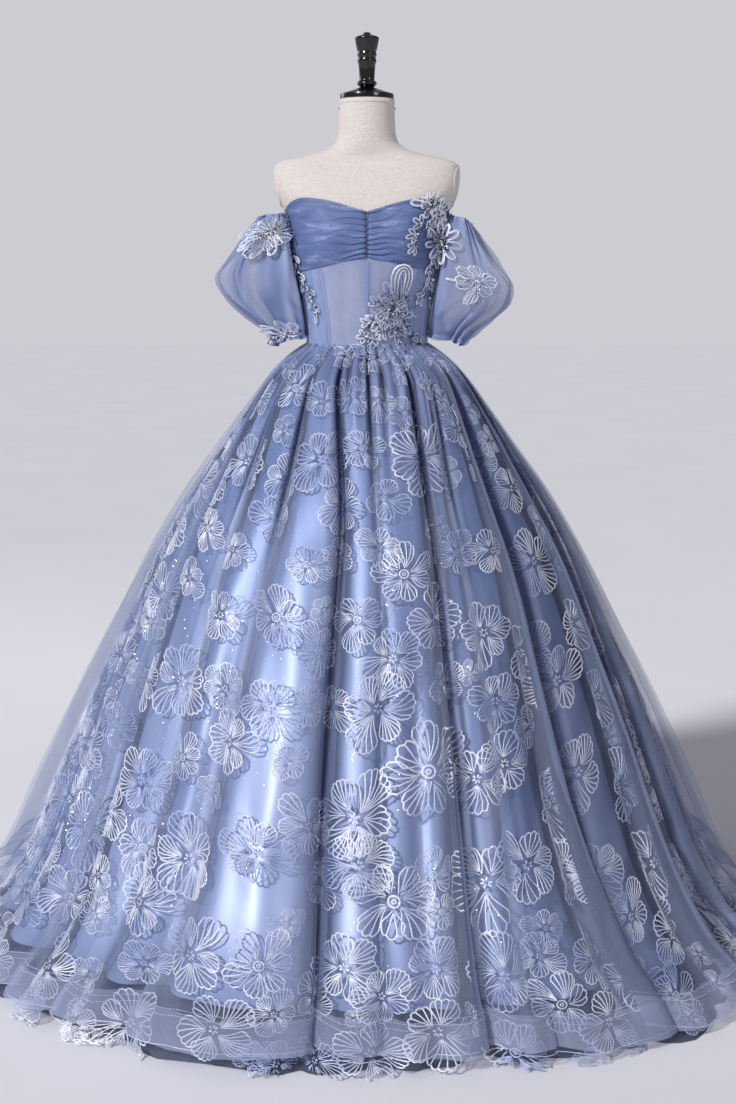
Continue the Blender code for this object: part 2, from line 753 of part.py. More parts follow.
def add_flower(name, place, petals=5):
    """An openwork flower: a hub, two ribs and a rim to each petal, with a gap between ribs."""
    sectors = petals * 3
    hub, inside, edge = 0.35, 0.78, 1.0
    corners = []
    for level in (0.0, APPLIQUE_WALL):
        corners.append(place(0.0, 0.0, level))
        for reach in (hub, inside, edge):
            for sector in range(sectors):
                turn = 2.0 * math.pi * sector / sectors
                length = reach
                if sector % 3 == 0 and reach > hub:
                    length = reach * 0.74
                corners.append(place(math.cos(turn) * length, math.sin(turn) * length, level))
    top = 1 + sectors * 3
    faces = []
    for sector in range(sectors):
        beside = (sector + 1) % sectors
        rings = [1 + ring * sectors for ring in range(3)]
        faces.append((0, rings[0] + sector, rings[0] + beside))
        faces.append((top, top + rings[0] + beside, top + rings[0] + sector))
        for ring in range(2):
            low = rings[ring]
            high = rings[ring + 1]
            if ring == 0 and sector % 3 == 1:
                continue
            faces.append((low + sector, high + sector, high + beside, low + beside))
            faces.append((
                top + low + sector,
                top + low + beside,
                top + high + beside,
                top + high + sector,
            ))
        rim = rings[2]
        faces.append((rim + sector, top + rim + sector, top + rim + beside, rim + beside))
        if sector % 3 == 1:
            low = rings[0]
            high = rings[1]
            faces.append((low + sector, top + low + sector, top + low + beside, low + beside))
            faces.append((high + sector, high + beside, top + high + beside, top + high + sector))
            faces.append((low + sector, high + sector, top + high + sector, top + low + sector))
            faces.append((low + beside, top + low + beside, top + high + beside, high + beside))
    add_solid(name, corners, faces, silver_cord)


def on_bodice(angle, rise, half_width, half_height, turn, distance):
    """Places a flower's points over the bodice."""
    radius = form_point(angle, rise).to_2d().length
    cosine = math.cos(math.radians(turn))
    sine = math.sin(math.radians(turn))

    def place(across, up, level):
        side = across * cosine - up * sine
        rising = across * sine + up * cosine
        swing = math.degrees(side * half_width / radius)
        return over_form(angle + swing, rise + rising * half_height, distance + level)

    return place


def on_sleeve(side, angle, ring, half_width, half_height, turn):
    """Places a flower's points over a sleeve."""
    cosine = math.cos(math.radians(turn))
    sine = math.sin(math.radians(turn))
    middle = sleeve_point(side, angle, ring)
    beside = sleeve_point(side, angle + 1.0, ring)
    below = sleeve_point(side, angle, ring + 0.5)
    degree = (beside - middle).length
    ring_height = (below - middle).length * 2.0

    def place(across, up, level):
        sideways = across * cosine - up * sine
        rising = across * sine + up * cosine
        swing = sideways * half_width / degree
        fall = -rising * half_height / ring_height
        distance = SLEEVE_WALL / 2.0 + 0.0012 + level
        return sleeve_point(side, angle + swing, ring + fall, distance)

    return place


for name, angle, rise, half_width, half_height, turn, distance in BODICE_FLOWERS:
    add_flower(name, on_bodice(angle, rise, half_width, half_height, turn, distance))
for name, side, angle, ring, half_width, half_height, turn in SLEEVE_FLOWERS:
    add_flower(name, on_sleeve(side, angle, ring, half_width, half_height, turn))
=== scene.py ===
import math

import bmesh
import bpy
import numpy as np
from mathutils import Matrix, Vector


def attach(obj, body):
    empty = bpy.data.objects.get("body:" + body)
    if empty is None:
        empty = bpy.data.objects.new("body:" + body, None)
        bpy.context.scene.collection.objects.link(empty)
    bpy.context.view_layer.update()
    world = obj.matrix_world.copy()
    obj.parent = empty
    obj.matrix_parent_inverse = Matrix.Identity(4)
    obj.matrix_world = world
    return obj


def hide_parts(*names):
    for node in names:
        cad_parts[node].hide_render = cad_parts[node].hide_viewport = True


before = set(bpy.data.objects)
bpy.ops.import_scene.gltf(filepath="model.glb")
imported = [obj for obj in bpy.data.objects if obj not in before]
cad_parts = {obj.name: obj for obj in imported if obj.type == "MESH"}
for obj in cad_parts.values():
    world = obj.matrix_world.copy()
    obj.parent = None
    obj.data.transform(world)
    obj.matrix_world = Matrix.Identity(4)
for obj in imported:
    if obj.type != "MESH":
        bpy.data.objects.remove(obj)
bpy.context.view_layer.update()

# A ball gown on a dress form. Metres, the front faces -Y and +X is the wearer's left.
# Angles are degrees from the front centre line towards +X, a rise is a height above the
# waist seam and a drop is a depth below it.

waistHeight = 1.148


def toLinear(colour):
    # an sRGB hex value as linear red, green, blue and alpha; anything else stays as it is
    if not (isinstance(colour, str) and colour.startswith("#")):
        return colour
    parts = [int(colour[i:i + 2], 16) / 255 for i in (1, 3, 5)]
    return tuple(p / 12.92 if p <= 0.04045 else ((p + 0.055) / 1.055) ** 2.4 for p in parts) + (1.0,)


def addNode(tree, kind, sockets=None, to=None, stops=(), **settings):
    # sockets: an input's name or number with its value, or with the node or output that feeds it
    # to: the input that the first output feeds; stops: the places and colours of a ramp
    node = tree.nodes.new(kind)
    for key, value in settings.items():
        setattr(node, key, value)
    for key, value in (sockets or {}).items():
        if isinstance(value, bpy.types.Node):
            value = value.outputs[0]
        if isinstance(value, bpy.types.NodeSocket):
            tree.links.new(value, node.inputs[key])
        else:
            node.inputs[key].default_value = toLinear(value)
    if stops:
        elements = node.color_ramp.elements
        for end in (0, -1):
            elements[end].position, elements[end].color = stops[end][0], toLinear(stops[end][1])
        for place, colour in stops[1:-1]:
            elements.new(place).color = toLinear(colour)
    if to is not None:
        tree.links.new(node.outputs[0], to)
    return node


def newMaterial(name, **finish):
    # the shader's own sockets are set by name, with _ for a blank
    material = bpy.data.materials.new(name)
    material.use_nodes = True
    surface = material.node_tree.nodes["Principled BSDF"].inputs
    for key, value in finish.items():
        surface[key.replace("_", " ")].default_value = toLinear(value)
    return material, material.node_tree, surface


def speckled(name, grain, detail, stops, bump=None, **finish):
    # a finish clouded at a grain of so many spots to a metre; bump: strength and height
    material, tree, surface = newMaterial(name, **finish)
    place = addNode(tree, "ShaderNodeTexCoord").outputs["Object"]
    spots = addNode(tree, "ShaderNodeTexNoise", {"Vector": place, "Scale": grain, "Detail": detail})
    addNode(tree, "ShaderNodeValToRGB", {"Fac": spots}, surface["Base Color"], stops)
    if bump:
        addNode(tree, "ShaderNodeBump", {"Height": spots, "Strength": bump[0], "Distance": bump[1]},
                surface["Normal"])
    return material


def smoothCurve(where, stops, values):
    # a soft line through the stops that never overshoots them
    where = np.asarray(where, float)
    stops, values = np.asarray(stops, float), np.asarray(values, float)
    step = np.diff(stops)
    slope = np.diff(values) / step
    tangent = np.zeros_like(values)
    tangent[0], tangent[-1] = slope[0], slope[-1]
    same = slope[:-1] * slope[1:] > 0
    middle = np.zeros(len(slope) - 1)
    middle[same] = 2 * slope[:-1][same] * slope[1:][same] / (slope[:-1] + slope[1:])[same]
    tangent[1:-1] = middle
    k = np.clip(np.searchsorted(stops, where, side="right") - 1, 0, len(step) - 1)
    u = np.clip((where - stops[k]) / step[k], 0, 1)
    return (values[k] * (1 + 2 * u) * (1 - u) ** 2 + tangent[k] * step[k] * u * (1 - u) ** 2
            + values[k + 1] * u * u * (3 - 2 * u) + tangent[k + 1] * step[k] * u * u * (u - 1))


def readTable(where, rows, *columns):
    # what a table's columns say at a place in its first column
    table = np.array(rows, float)
    return [smoothCurve(where, table[:, 0], table[:, column]) for column in columns]


def newPiece(name, mesh, material=None):
    piece = bpy.data.objects.new(name, mesh)
    bpy.context.scene.collection.objects.link(piece)
    if material:
        mesh.materials.clear()
        mesh.materials.append(material)
    return piece


def newMesh(name, corners, faces, smooth=False):
    mesh = bpy.data.meshes.new(name)
    mesh.from_pydata(corners, [], faces)
    if smooth:
        mesh.polygons.foreach_set("use_smooth", np.ones(len(faces), bool))
    return mesh


def gridMesh(name, points, cloth=None, loop=False):
    # points: columns x rows x 3. cloth: the same grid in metres of flat cloth, kept as a UV map
    columns, rows = points.shape[:2]
    index = np.arange(columns * rows).reshape(columns, rows)
    first = index if loop else index[:-1]
    second = np.roll(index, -1, axis=0) if loop else index[1:]
    quads = np.stack([first[:, :-1], second[:, :-1], second[:, 1:], first[:, 1:]], -1).reshape(-1, 4)
    flat = points.reshape(-1, 3)
    across = np.cross(flat[quads[:, 2]] - flat[quads[:, 0]], flat[quads[:, 3]] - flat[quads[:, 1]])
    middle = flat.mean(0) if loop else np.zeros(3)
    away = (flat[quads].mean(1) - middle) * np.array([1, 1, 0])
    turned = (across * away).sum() < 0
    if turned:      # faces point away from the upright middle line
        quads = quads[:, ::-1]
    mesh = newMesh(name, flat.tolist(), quads.tolist(), True)
    if cloth is not None:
        a, b = cloth[:-1], cloth[1:]
        corners = np.stack([a[:, :-1], b[:, :-1], b[:, 1:], a[:, 1:]], 2).reshape(-1, 4, 2)
        if turned:
            corners = corners[:, ::-1]
        layer = mesh.uv_layers.new(name="cloth")
        layer.uv.foreach_set("vector", corners.astype(np.float32).ravel())
    mesh.update()
    return mesh


def ringMesh(name, shells, sharp=None):
    # closed skins, each over a row of rings of points; edges past the sharp angle stay crisp
    skin = bmesh.new()
    for rings in shells:
        rings = [[skin.verts.new(point) for point in ring] for ring in rings]
        for low, high in zip(rings, rings[1:]):
            for k in range(len(low)):
                after = (k + 1) % len(low)
                skin.faces.new((low[k], low[after], high[after], high[k]))
        skin.faces.new(rings[0])
        skin.faces.new(rings[-1])
    bmesh.ops.recalc_face_normals(skin, faces=skin.faces)
    mesh = bpy.data.meshes.new(name)
    skin.to_mesh(mesh)
    skin.free()
    if sharp:
        mesh.polygons.foreach_set("use_smooth", np.ones(len(mesh.polygons), bool))
        mesh.set_sharp_from_angle(angle=math.radians(sharp))
    return mesh


def keepValues(mesh, **values):
    # numbers kept at the mesh's points, for its material or a tree to read
    for word, numbers in values.items():
        kind, exact = ("INT", np.int32) if word == "motif" else ("FLOAT", np.float32)
        layer = mesh.attributes.new(word, kind, "POINT")
        layer.data.foreach_set("value", np.asarray(numbers, exact).ravel())


def realized(name, startMesh, tree, inputs):
    # runs a geometry tree on a mesh and keeps its result as a plain mesh
    holder = newPiece(name + "Start", startMesh)
    step = holder.modifiers.new("nodes", "NODES")
    step.node_group = tree
    for socket in tree.interface.items_tree:
        if socket.item_type == "SOCKET" and socket.in_out == "INPUT" and socket.name in inputs:
            step[socket.identifier] = inputs[socket.name]
    bpy.context.view_layer.update()
    graph = bpy.context.evaluated_depsgraph_get()
    mesh = bpy.data.meshes.new_from_object(holder.evaluated_get(graph), depsgraph=graph)
    bpy.data.objects.remove(holder)
    mesh.name = name
    return newPiece(name, mesh)


def worn(piece, slotName, *nodes):
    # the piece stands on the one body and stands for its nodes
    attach(piece, "root")
    if nodes:
        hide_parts(*nodes)
    return piece


studio = {
    "frame": (736, 1104), "lens": 56.6, "sensor": 36.0, "cameraPlace": (0.002, -3.5, 1.274), "cameraTilt": 81.06,
    "aim": (0, 0, 0.85), "keyTurn": -42.0, "keyRise": 34.0, "keyPower": 2.9, "keySpread": 8.0, "keyFar": 6.0,
    "fillPlace": (1.7, -2.0, 2.5), "fillAim": (0.12, 0.0, 1.50), "fillSize": 0.8, "fillSpread": 34.0,
    "fillPower": 0.45, "rimPlace": (-2.6, 2.2, 2.6), "rimSize": 1.6, "rimPower": 14,
    "skyColour": "#e8e9f4", "skyStrength": 0.29, "paperColour": "#e4e4ea", "paperStrength": 0.78,
    "floorHalf": 30,
}
cameraData = bpy.data.cameras.new("camera")
cameraData.lens, cameraData.sensor_width = studio["lens"], studio["sensor"]
camera = newPiece("camera", cameraData)
camera.location = studio["cameraPlace"]
camera.rotation_euler = (math.radians(studio["cameraTilt"]), 0, 0)
bpy.context.scene.camera = camera


def addLight(name, kind, place, power, aim=studio["aim"], **settings):
    lamp = bpy.data.lights.new(name, kind)
    lamp.energy = power
    for key, value in settings.items():
        setattr(lamp, key, value)
    light = newPiece(name, lamp)
    light.location = place
    light.rotation_euler = (Vector(aim) - Vector(place)).to_track_quat("-Z", "Y").to_euler()


def addStudio():
    turn, rise = math.radians(studio["keyTurn"]), math.radians(studio["keyRise"])
    level, up = studio["keyFar"] * math.cos(rise), studio["keyFar"] * math.sin(rise)
    keyPlace = (level * math.sin(turn), -level * math.cos(turn), studio["aim"][2] + up)
    addLight("keyLight", "SUN", keyPlace, studio["keyPower"], angle=math.radians(studio["keySpread"]))
    addLight("fillLight", "AREA", studio["fillPlace"], studio["fillPower"], studio["fillAim"], shape="DISK",
             size=studio["fillSize"], spread=math.radians(studio["fillSpread"]))
    addLight("rimLight", "AREA", studio["rimPlace"], studio["rimPower"], shape="DISK", size=studio["rimSize"])
    world = bpy.data.worlds.new("studioAir")
    world.use_nodes = True
    air = world.node_tree
    sky = air.nodes["Background"]
    sky.inputs["Color"].default_value = toLinear(studio["skyColour"])
    sky.inputs["Strength"].default_value = studio["skyStrength"]
    paper = addNode(air, "ShaderNodeBackground",
                    {"Color": studio["paperColour"], "Strength": studio["paperStrength"]})
    seen = addNode(air, "ShaderNodeLightPath").outputs["Is Camera Ray"]      # the paper behind lights nothing
    addNode(air, "ShaderNodeMixShader", {0: seen, 1: sky, 2: paper}, air.nodes["World Output"].inputs["Surface"])
    bpy.context.scene.world = world
    bpy.context.scene.view_settings.view_transform = "Standard"
    far = studio["floorHalf"]
    # pale matt studio paint
    paint = speckled("matFloorPaint", 1.6, 4.0, [(0.3, "#eaeaf0"), (0.7, "#eeeef4")], Roughness=0.75)
    ground = newMesh("floor", [(-far, -far, 0), (far, -far, 0), (far, far, 0), (-far, far, 0)], [(0, 1, 2, 3)])
    newPiece("floor", ground, paint)


addStudio()
print("stage: camera, light and floor are set")


def paddedLinen():
    # cream cotton-linen stretched over padding: dull, close plain weave with small slubs, its
    # threads drawn about 1 mm thick so that they show
    material, tree, surface = newMaterial("coverLinen", Roughness=0.92, Sheen_Weight=0.12, Sheen_Roughness=0.6)
    place = addNode(tree, "ShaderNodeTexCoord").outputs["Object"]
    yarns = []
    for stretch in ((1, 1, 6), (6, 6, 1)):      # the level weft and the upright warp
        drawn = addNode(tree, "ShaderNodeMapping", {"Vector": place, "Scale": stretch})
        yarns.append(addNode(tree, "ShaderNodeTexNoise", {"Vector": drawn, "Scale": 160, "Detail": 3.0}))
    weave = addNode(tree, "ShaderNodeMath", {0: yarns[0], 1: yarns[1]}, operation="MULTIPLY")
    addNode(tree, "ShaderNodeValToRGB", {"Fac": weave}, surface["Base Color"],
            [(0.14, "#c0b7b0"), (0.26, "#d1c9c3"), (0.40, "#dad3ce")])
    addNode(tree, "ShaderNodeBump", {"Height": weave, "Strength": 0.35, "Distance": 0.0006}, surface["Normal"])
    return material


linen = paddedLinen()
# turned wood under thick black gloss lacquer: near black with sharp reflections
lacquer = speckled("blackLacquer", 90, 4.0, [(0.4, "#050506"), (0.75, "#0e0e10")], (0.06, 0.0003),
                   Roughness=0.20, Coat_Weight=0.35, Coat_Roughness=0.03)
# powder coated steel tube and plate: dark grey with a fine orange peel
steel = speckled("coatedSteel", 500, 2.0, [(0.3, "#3a3a3f"), (0.7, "#4b4b51")], (0.2, 0.0004), Roughness=0.42)

formShape = {
    "sections": (  # rise, half width, depth to the front, depth to the back, squareness
        (-0.230, 0.118, 0.082, 0.096, 2.0), (-0.222, 0.148, 0.103, 0.118, 2.1), (-0.200, 0.163, 0.113, 0.131, 2.2),
        (-0.130, 0.162, 0.111, 0.129, 2.2), (-0.065, 0.141, 0.101, 0.110, 2.1), (-0.030, 0.124, 0.094, 0.097, 2.0),
        (0.000, 0.1180, 0.0915, 0.0920, 2.0), (0.040, 0.1210, 0.0955, 0.0930, 2.0),
        (0.085, 0.1285, 0.1010, 0.0965, 2.1), (0.130, 0.1385, 0.1075, 0.1000, 2.1),
        (0.170, 0.1455, 0.1120, 0.1025, 2.1), (0.210, 0.1510, 0.1135, 0.1040, 2.1),
        (0.245, 0.1580, 0.1070, 0.1030, 2.2), (0.272, 0.1700, 0.0960, 0.0990, 2.4),
        (0.300, 0.1790, 0.0830, 0.0930, 2.6), (0.325, 0.1815, 0.0690, 0.0820, 2.7),
        (0.344, 0.1810, 0.0560, 0.0660, 2.7), (0.355, 0.1700, 0.0500, 0.0580, 2.6),
        (0.362, 0.1400, 0.0490, 0.0560, 2.4), (0.370, 0.1050, 0.0500, 0.0550, 2.2),
        (0.380, 0.0760, 0.0520, 0.0550, 2.1), (0.393, 0.0610, 0.0540, 0.0550, 2.0),
        (0.412, 0.0560, 0.0545, 0.0550, 2.0), (0.4735, 0.0535, 0.0535, 0.0535, 2.0)),
    "bustAngle": 29.0, "bustSpread": 17.0, "bustRise": 0.205, "bustHeight": 0.050, "bustFullness": 0.013,
    "columns": 112, "rows": 96, "shoulder": (0.335, 0.40), "shoulderRows": 30,
    "plateRise": 0.308, "plateBack": 0.004, "plateHalf": (0.043, 0.042),
    "plate": (  # how proud of the form, and the share of the plate's size
        (-0.0010, 1.0), (0.0012, 1.0), (0.0017, 0.985), (0.0019, 0.96), (0.0020, 0.80), (0.0021, 0.50),
        (0.0021, 0.16)),
}
headShape = {  # radius and rise, from the foot of each turned piece to its top
    "neckSeam": ((0.0530, 0.4640), (0.0546, 0.4652), (0.0549, 0.4668), (0.0546, 0.4684), (0.0530, 0.4696)),
    "neckCap": (
        (0.0505, 0.4738), (0.0520, 0.4743), (0.0527, 0.4752), (0.0527, 0.4818), (0.0522, 0.4832), (0.0505, 0.4843),
        (0.0440, 0.4862), (0.0330, 0.4896), (0.0235, 0.4928), (0.0175, 0.4952), (0.0150, 0.4963)),
    "finial": (
        (0.0135, 0.4963), (0.0152, 0.4984), (0.0176, 0.5004), (0.0190, 0.5022), (0.0195, 0.5040), (0.0188, 0.5060),
        (0.0168, 0.5080), (0.0152, 0.5096), (0.0147, 0.5112), (0.0150, 0.5170), (0.0157, 0.5300), (0.0166, 0.5410),
        (0.0178, 0.5430), (0.0184, 0.5452), (0.0185, 0.5480), (0.0180, 0.5502), (0.0170, 0.5520), (0.0169, 0.5534),
        (0.0180, 0.5554), (0.0188, 0.5574), (0.0189, 0.5598), (0.0183, 0.5620), (0.0178, 0.5638), (0.0186, 0.5656),
        (0.0196, 0.5680), (0.0208, 0.5740), (0.0221, 0.5810), (0.0231, 0.5870), (0.0235, 0.5895), (0.0233, 0.5908),
        (0.0222, 0.5921), (0.0180, 0.5936), (0.0120, 0.5952), (0.0082, 0.5966), (0.0072, 0.5980), (0.0066, 0.5996),
        (0.0045, 0.6008)),
    "screwRise": 0.4560, "screw": ((0.0520, 0.0020), (0.0552, 0.0020), (0.0560, 0.0014)),   # reach and radius
}


def formPoint(angle, rise):
    angle, rise = np.broadcast_arrays(np.asarray(angle, float), np.asarray(rise, float))
    halfWidth, front, back, square = readTable(rise, formShape["sections"], 1, 2, 3, 4)
    turn = np.radians(angle)
    across, ahead = np.sin(turn), np.cos(turn)
    power = 2.0 / square
    x = halfWidth * np.sign(across) * np.abs(across) ** power
    y = -np.where(ahead > 0, front, back) * np.sign(ahead) * np.abs(ahead) ** power
    swing = (np.abs((angle + 180) % 360 - 180) - formShape["bustAngle"]) / formShape["bustSpread"]
    lift = (rise - formShape["bustRise"]) / formShape["bustHeight"]
    y = y - np.where(ahead > 0, formShape["bustFullness"] * np.exp(-swing ** 2 - lift ** 2), 0)
    return np.stack([x, y, waistHeight + rise], -1)


def formFlank(rise, y):
    # how far out the form's side lies at a depth y
    halfWidth, front, back, square = readTable(rise, formShape["sections"], 1, 2, 3, 4)
    share = np.minimum(np.abs(y / np.where(y < 0, front, back)), 0.98)
    return halfWidth * (1 - share ** square) ** (1 / square)


def overForm(angle, rise, distance):
    along = formPoint(np.asarray(angle) + 1.0, rise) - formPoint(np.asarray(angle) - 1.0, rise)
    out = np.stack([along[..., 1], -along[..., 0], np.zeros_like(along[..., 0])], -1)
    out /= np.linalg.norm(out, axis=-1, keepdims=True)
    return formPoint(angle, rise) + out * np.asarray(distance)[..., None]


def circle(steps):
    return [(math.cos(math.tau * k / steps), math.sin(math.tau * k / steps)) for k in range(steps)]


def turnedMesh(name, sharp=35.0):
    rings = [[(radius * s, -radius * c, waistHeight + rise) for c, s in circle(64)] for radius, rise in headShape[name]]
    return ringMesh(name, [rings], sharp)


def addForm():
    rises = [row[0] for row in formShape["sections"]]
    even = np.linspace(rises[0], rises[-1], formShape["rows"])
    curved = np.linspace(*formShape["shoulder"], formShape["shoulderRows"])
    fine = np.unique(np.round(np.concatenate([rises, even, curved]), 5))
    turns = np.arange(0, 360, 360 / formShape["columns"])
    mesh = gridMesh("formBody", formPoint(turns[:, None], fine[None, :]), loop=True)
    skin = bmesh.new()      # closes the hip and the neck
    skin.from_mesh(mesh)
    bmesh.ops.holes_fill(skin, edges=[edge for edge in skin.edges if edge.is_boundary])
    skin.to_mesh(mesh)
    skin.free()
    worn(newPiece("formBody", mesh, linen), "linen", "form_torso")
    worn(newPiece("neckSeam", turnedMesh("neckSeam", 80), linen), "linen")      # a narrow welt under the cap
    wide, high = formShape["plateHalf"]
    for side, word in ((1, "Left"), (-1, "Right")):
        rings = []      # a linen covered disc let into the arm's opening, following the form
        for proud, size in formShape["plate"]:
            spots = [(wide * size * c + formShape["plateBack"], formShape["plateRise"] + high * size * s)
                     for c, s in circle(48)]
            rings.append([(side * (float(formFlank(rise, y)) + proud), y, waistHeight + rise) for y, rise in spots])
        plate = ringMesh("armPlate" + word, [rings], 40)
        worn(newPiece("armPlate" + word, plate, linen), "linen", "form_arm_plate_" + word.lower())


def addHeadgear():
    worn(newPiece("neckCap", turnedMesh("neckCap"), lacquer), "black_lacquer", "form_neck_cap")
    worn(newPiece("finial", turnedMesh("finial"), lacquer), "black_lacquer", "form_finial")
    height = waistHeight + headShape["screwRise"]       # two small screws hold the cap, one at each side
    shells = [[[(side * reach, size * c, height + size * s) for c, s in circle(12)]
               for reach, size in headShape["screw"]] for side in (1, -1)]
    worn(newPiece("neckScrews", ringMesh("neckScrews", shells), steel), "stand_metal")


addForm()
addHeadgear()
for nodeName in ("form_pole", "form_base"):
    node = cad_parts[nodeName]
    node.data.materials.clear()
    node.data.materials.append(steel)
print("stage: dress form is made")

yarnFinish = {"roughness": 0.55, "sheenColour": "#dfe6ff", "threads": 500, "doubledTone": 0.30, "sunkAlpha": 0.62}


def clothPlace(tree, across, down):
    # the piece's flat cloth coordinates in metres, stretched by two factors
    flat = addNode(tree, "ShaderNodeUVMap", uv_map="cloth")
    return addNode(tree, "ShaderNodeMapping", {"Vector": flat, "Scale": (across, down, 1)})


def sheerCloth(name, dark, light, alpha, doubled=0.0, sheen=0.5, streak=(30, 3), crease=None):
    # fine net of polyester yarn: seen as a haze of its own colour, denser and paler where it is
    # folded on itself; its holes are drawn 2 mm wide so that they show
    material, tree, surface = newMaterial(
        name, Roughness=yarnFinish["roughness"], Alpha=alpha, Sheen_Weight=sheen, Sheen_Roughness=0.35,
        Sheen_Tint=yarnFinish["sheenColour"])
    threads = yarnFinish["threads"]
    cloudy = addNode(tree, "ShaderNodeTexNoise",
                     {"Vector": clothPlace(tree, *streak), "Scale": 1.0, "Detail": 4.0})
    net = addNode(tree, "ShaderNodeTexVoronoi", {"Vector": clothPlace(tree, threads, threads), "Scale": 1.0})
    tone = addNode(tree, "ShaderNodeMath", {0: net, 1: 0.22, 2: cloudy}, operation="MULTIPLY_ADD")
    if doubled:
        drawn = addNode(tree, "ShaderNodeAttribute", attribute_name="drawn").outputs["Fac"]
        wisps = addNode(tree, "ShaderNodeMath", {0: cloudy, 1: alpha, 2: alpha * 0.5}, operation="MULTIPLY_ADD")
        dense = addNode(tree, "ShaderNodeMath", {0: drawn, 1: doubled, 2: wisps}, None if crease else surface["Alpha"],
                        operation="MULTIPLY_ADD", use_clamp=True)
        tone = addNode(tree, "ShaderNodeMath", {0: drawn, 1: yarnFinish["doubledTone"], 2: tone},
                       operation="MULTIPLY_ADD")
    colour = addNode(tree, "ShaderNodeValToRGB", {"Fac": tone}, stops=[(0.42, dark), (0.86, light)]).outputs[0]
    if crease:      # many layers together where it is tucked into a fold, and painted shade there: darker colour, no sheen
        sunk = addNode(tree, "ShaderNodeAttribute", attribute_name="sunk").outputs["Fac"]
        colour = addNode(tree, "ShaderNodeMix", {0: sunk, 6: colour, 7: crease}, data_type="RGBA").outputs[2]
        addNode(tree, "ShaderNodeMath", {0: sunk, 1: yarnFinish["sunkAlpha"], 2: dense}, surface["Alpha"],
                operation="MULTIPLY_ADD", use_clamp=True)
        addNode(tree, "ShaderNodeMapRange", {"Value": sunk, "To Min": sheen, "To Max": 0.0}, surface["Sheen Weight"])
    tree.links.new(colour, surface["Base Color"])
    addNode(tree, "ShaderNodeBump", {"Height": net, "Strength": 0.12, "Distance": 0.0004}, surface["Normal"])
    return material


def heavySatin():
    # polyester duchess satin: smooth floats that give long soft highlights; painted shade makes it deep blue down in
    # the creases and a painted highlight makes it paler on the crests
    material, tree, surface = newMaterial(
        "liningSatin", Roughness=0.44, Metallic=0.30, Sheen_Weight=0.15, Sheen_Roughness=0.35,
        Specular_IOR_Level=1.0, Sheen_Tint="#dfe6ff", Anisotropic=0.3)
    cloudy = addNode(tree, "ShaderNodeTexNoise", {"Vector": clothPlace(tree, 5, 2), "Scale": 1.0, "Detail": 3.0})
    # drawn: painted shade, dark navy down in the creases; crest: painted highlight, paler on the crests between the
    # folds
    drawn, crest = (addNode(tree, "ShaderNodeAttribute", attribute_name=word).outputs["Fac"]
                    for word in ("drawn", "crest"))
    tone = addNode(tree, "ShaderNodeValToRGB", {"Fac": cloudy}, stops=[(0.3, "#6a80b4"), (0.7, "#869aca")])
    raised = addNode(tree, "ShaderNodeMath", {0: crest, 1: 0.55}, operation="MULTIPLY")
    pale = addNode(tree, "ShaderNodeMix", {0: raised, 6: tone, 7: "#bdc8ec"}, data_type="RGBA").outputs[2]
    deep = addNode(tree, "ShaderNodeMix", {0: drawn, 6: pale, 7: "#18213f"}, data_type="RGBA").outputs[2]
    tree.links.new(deep, surface["Base Color"])
    for word, plain, tucked in (("Roughness", 0.44, 0.75), ("Metallic", 0.30, 0.0)):     # dull in the creases
        addNode(tree, "ShaderNodeMapRange", {"Value": drawn, "To Min": plain, "To Max": tucked}, surface[word])
    floats = addNode(tree, "ShaderNodeTexNoise", {"Vector": clothPlace(tree, 900, 60), "Scale": 1.0, "Detail": 2.0})
    soft = addNode(tree, "ShaderNodeTexNoise", {"Vector": clothPlace(tree, 7, 3), "Scale": 1.0, "Detail": 1.5})
    fine = addNode(tree, "ShaderNodeBump", {"Height": floats, "Strength": 0.1, "Distance": 0.0003})
    addNode(tree, "ShaderNodeBump", {"Height": soft, "Strength": 0.35, "Distance": 0.05, "Normal": fine},
            surface["Normal"])
    return material


def ruchedTulle():
    # tulle drawn into pleats over a blue foundation: dusty blue, with painted glints as pale flecks along its folds and
    # painted shade dark between them
    material, tree, surface = newMaterial(
        "ruchedTulle", Roughness=0.62, Sheen_Weight=0.3, Sheen_Roughness=0.4, Sheen_Tint="#cdd9ff")
    glint = addNode(tree, "ShaderNodeTexNoise",
                    {"Vector": clothPlace(tree, 14, 60), "Scale": 1.0, "Detail": 4.0, "Roughness": 0.55})
    speck = addNode(tree, "ShaderNodeTexNoise", {"Vector": clothPlace(tree, 260, 420), "Scale": 1.0, "Detail": 2.0})
    mixed = addNode(tree, "ShaderNodeMath", {0: speck, 1: 0.45, 2: glint}, operation="MULTIPLY_ADD")
    tone = addNode(tree, "ShaderNodeValToRGB", {"Fac": mixed},
                   stops=[(0.55, "#4d5e8f"), (0.80, "#6071a0"), (1.02, "#9aa6ca")])
    # painted shade: darker in the pleats' valleys, along the front centre and under the rolled top edge
    drawn = addNode(tree, "ShaderNodeAttribute", attribute_name="drawn").outputs["Fac"]
    deep = addNode(tree, "ShaderNodeMix", {0: drawn, 6: tone, 7: "#2e3d6c"}, data_type="RGBA").outputs[2]
    tree.links.new(deep, surface["Base Color"])
    addNode(tree, "ShaderNodeBump", {"Height": mixed, "Strength": 0.3, "Distance": 0.0008}, surface["Normal"])
    return material


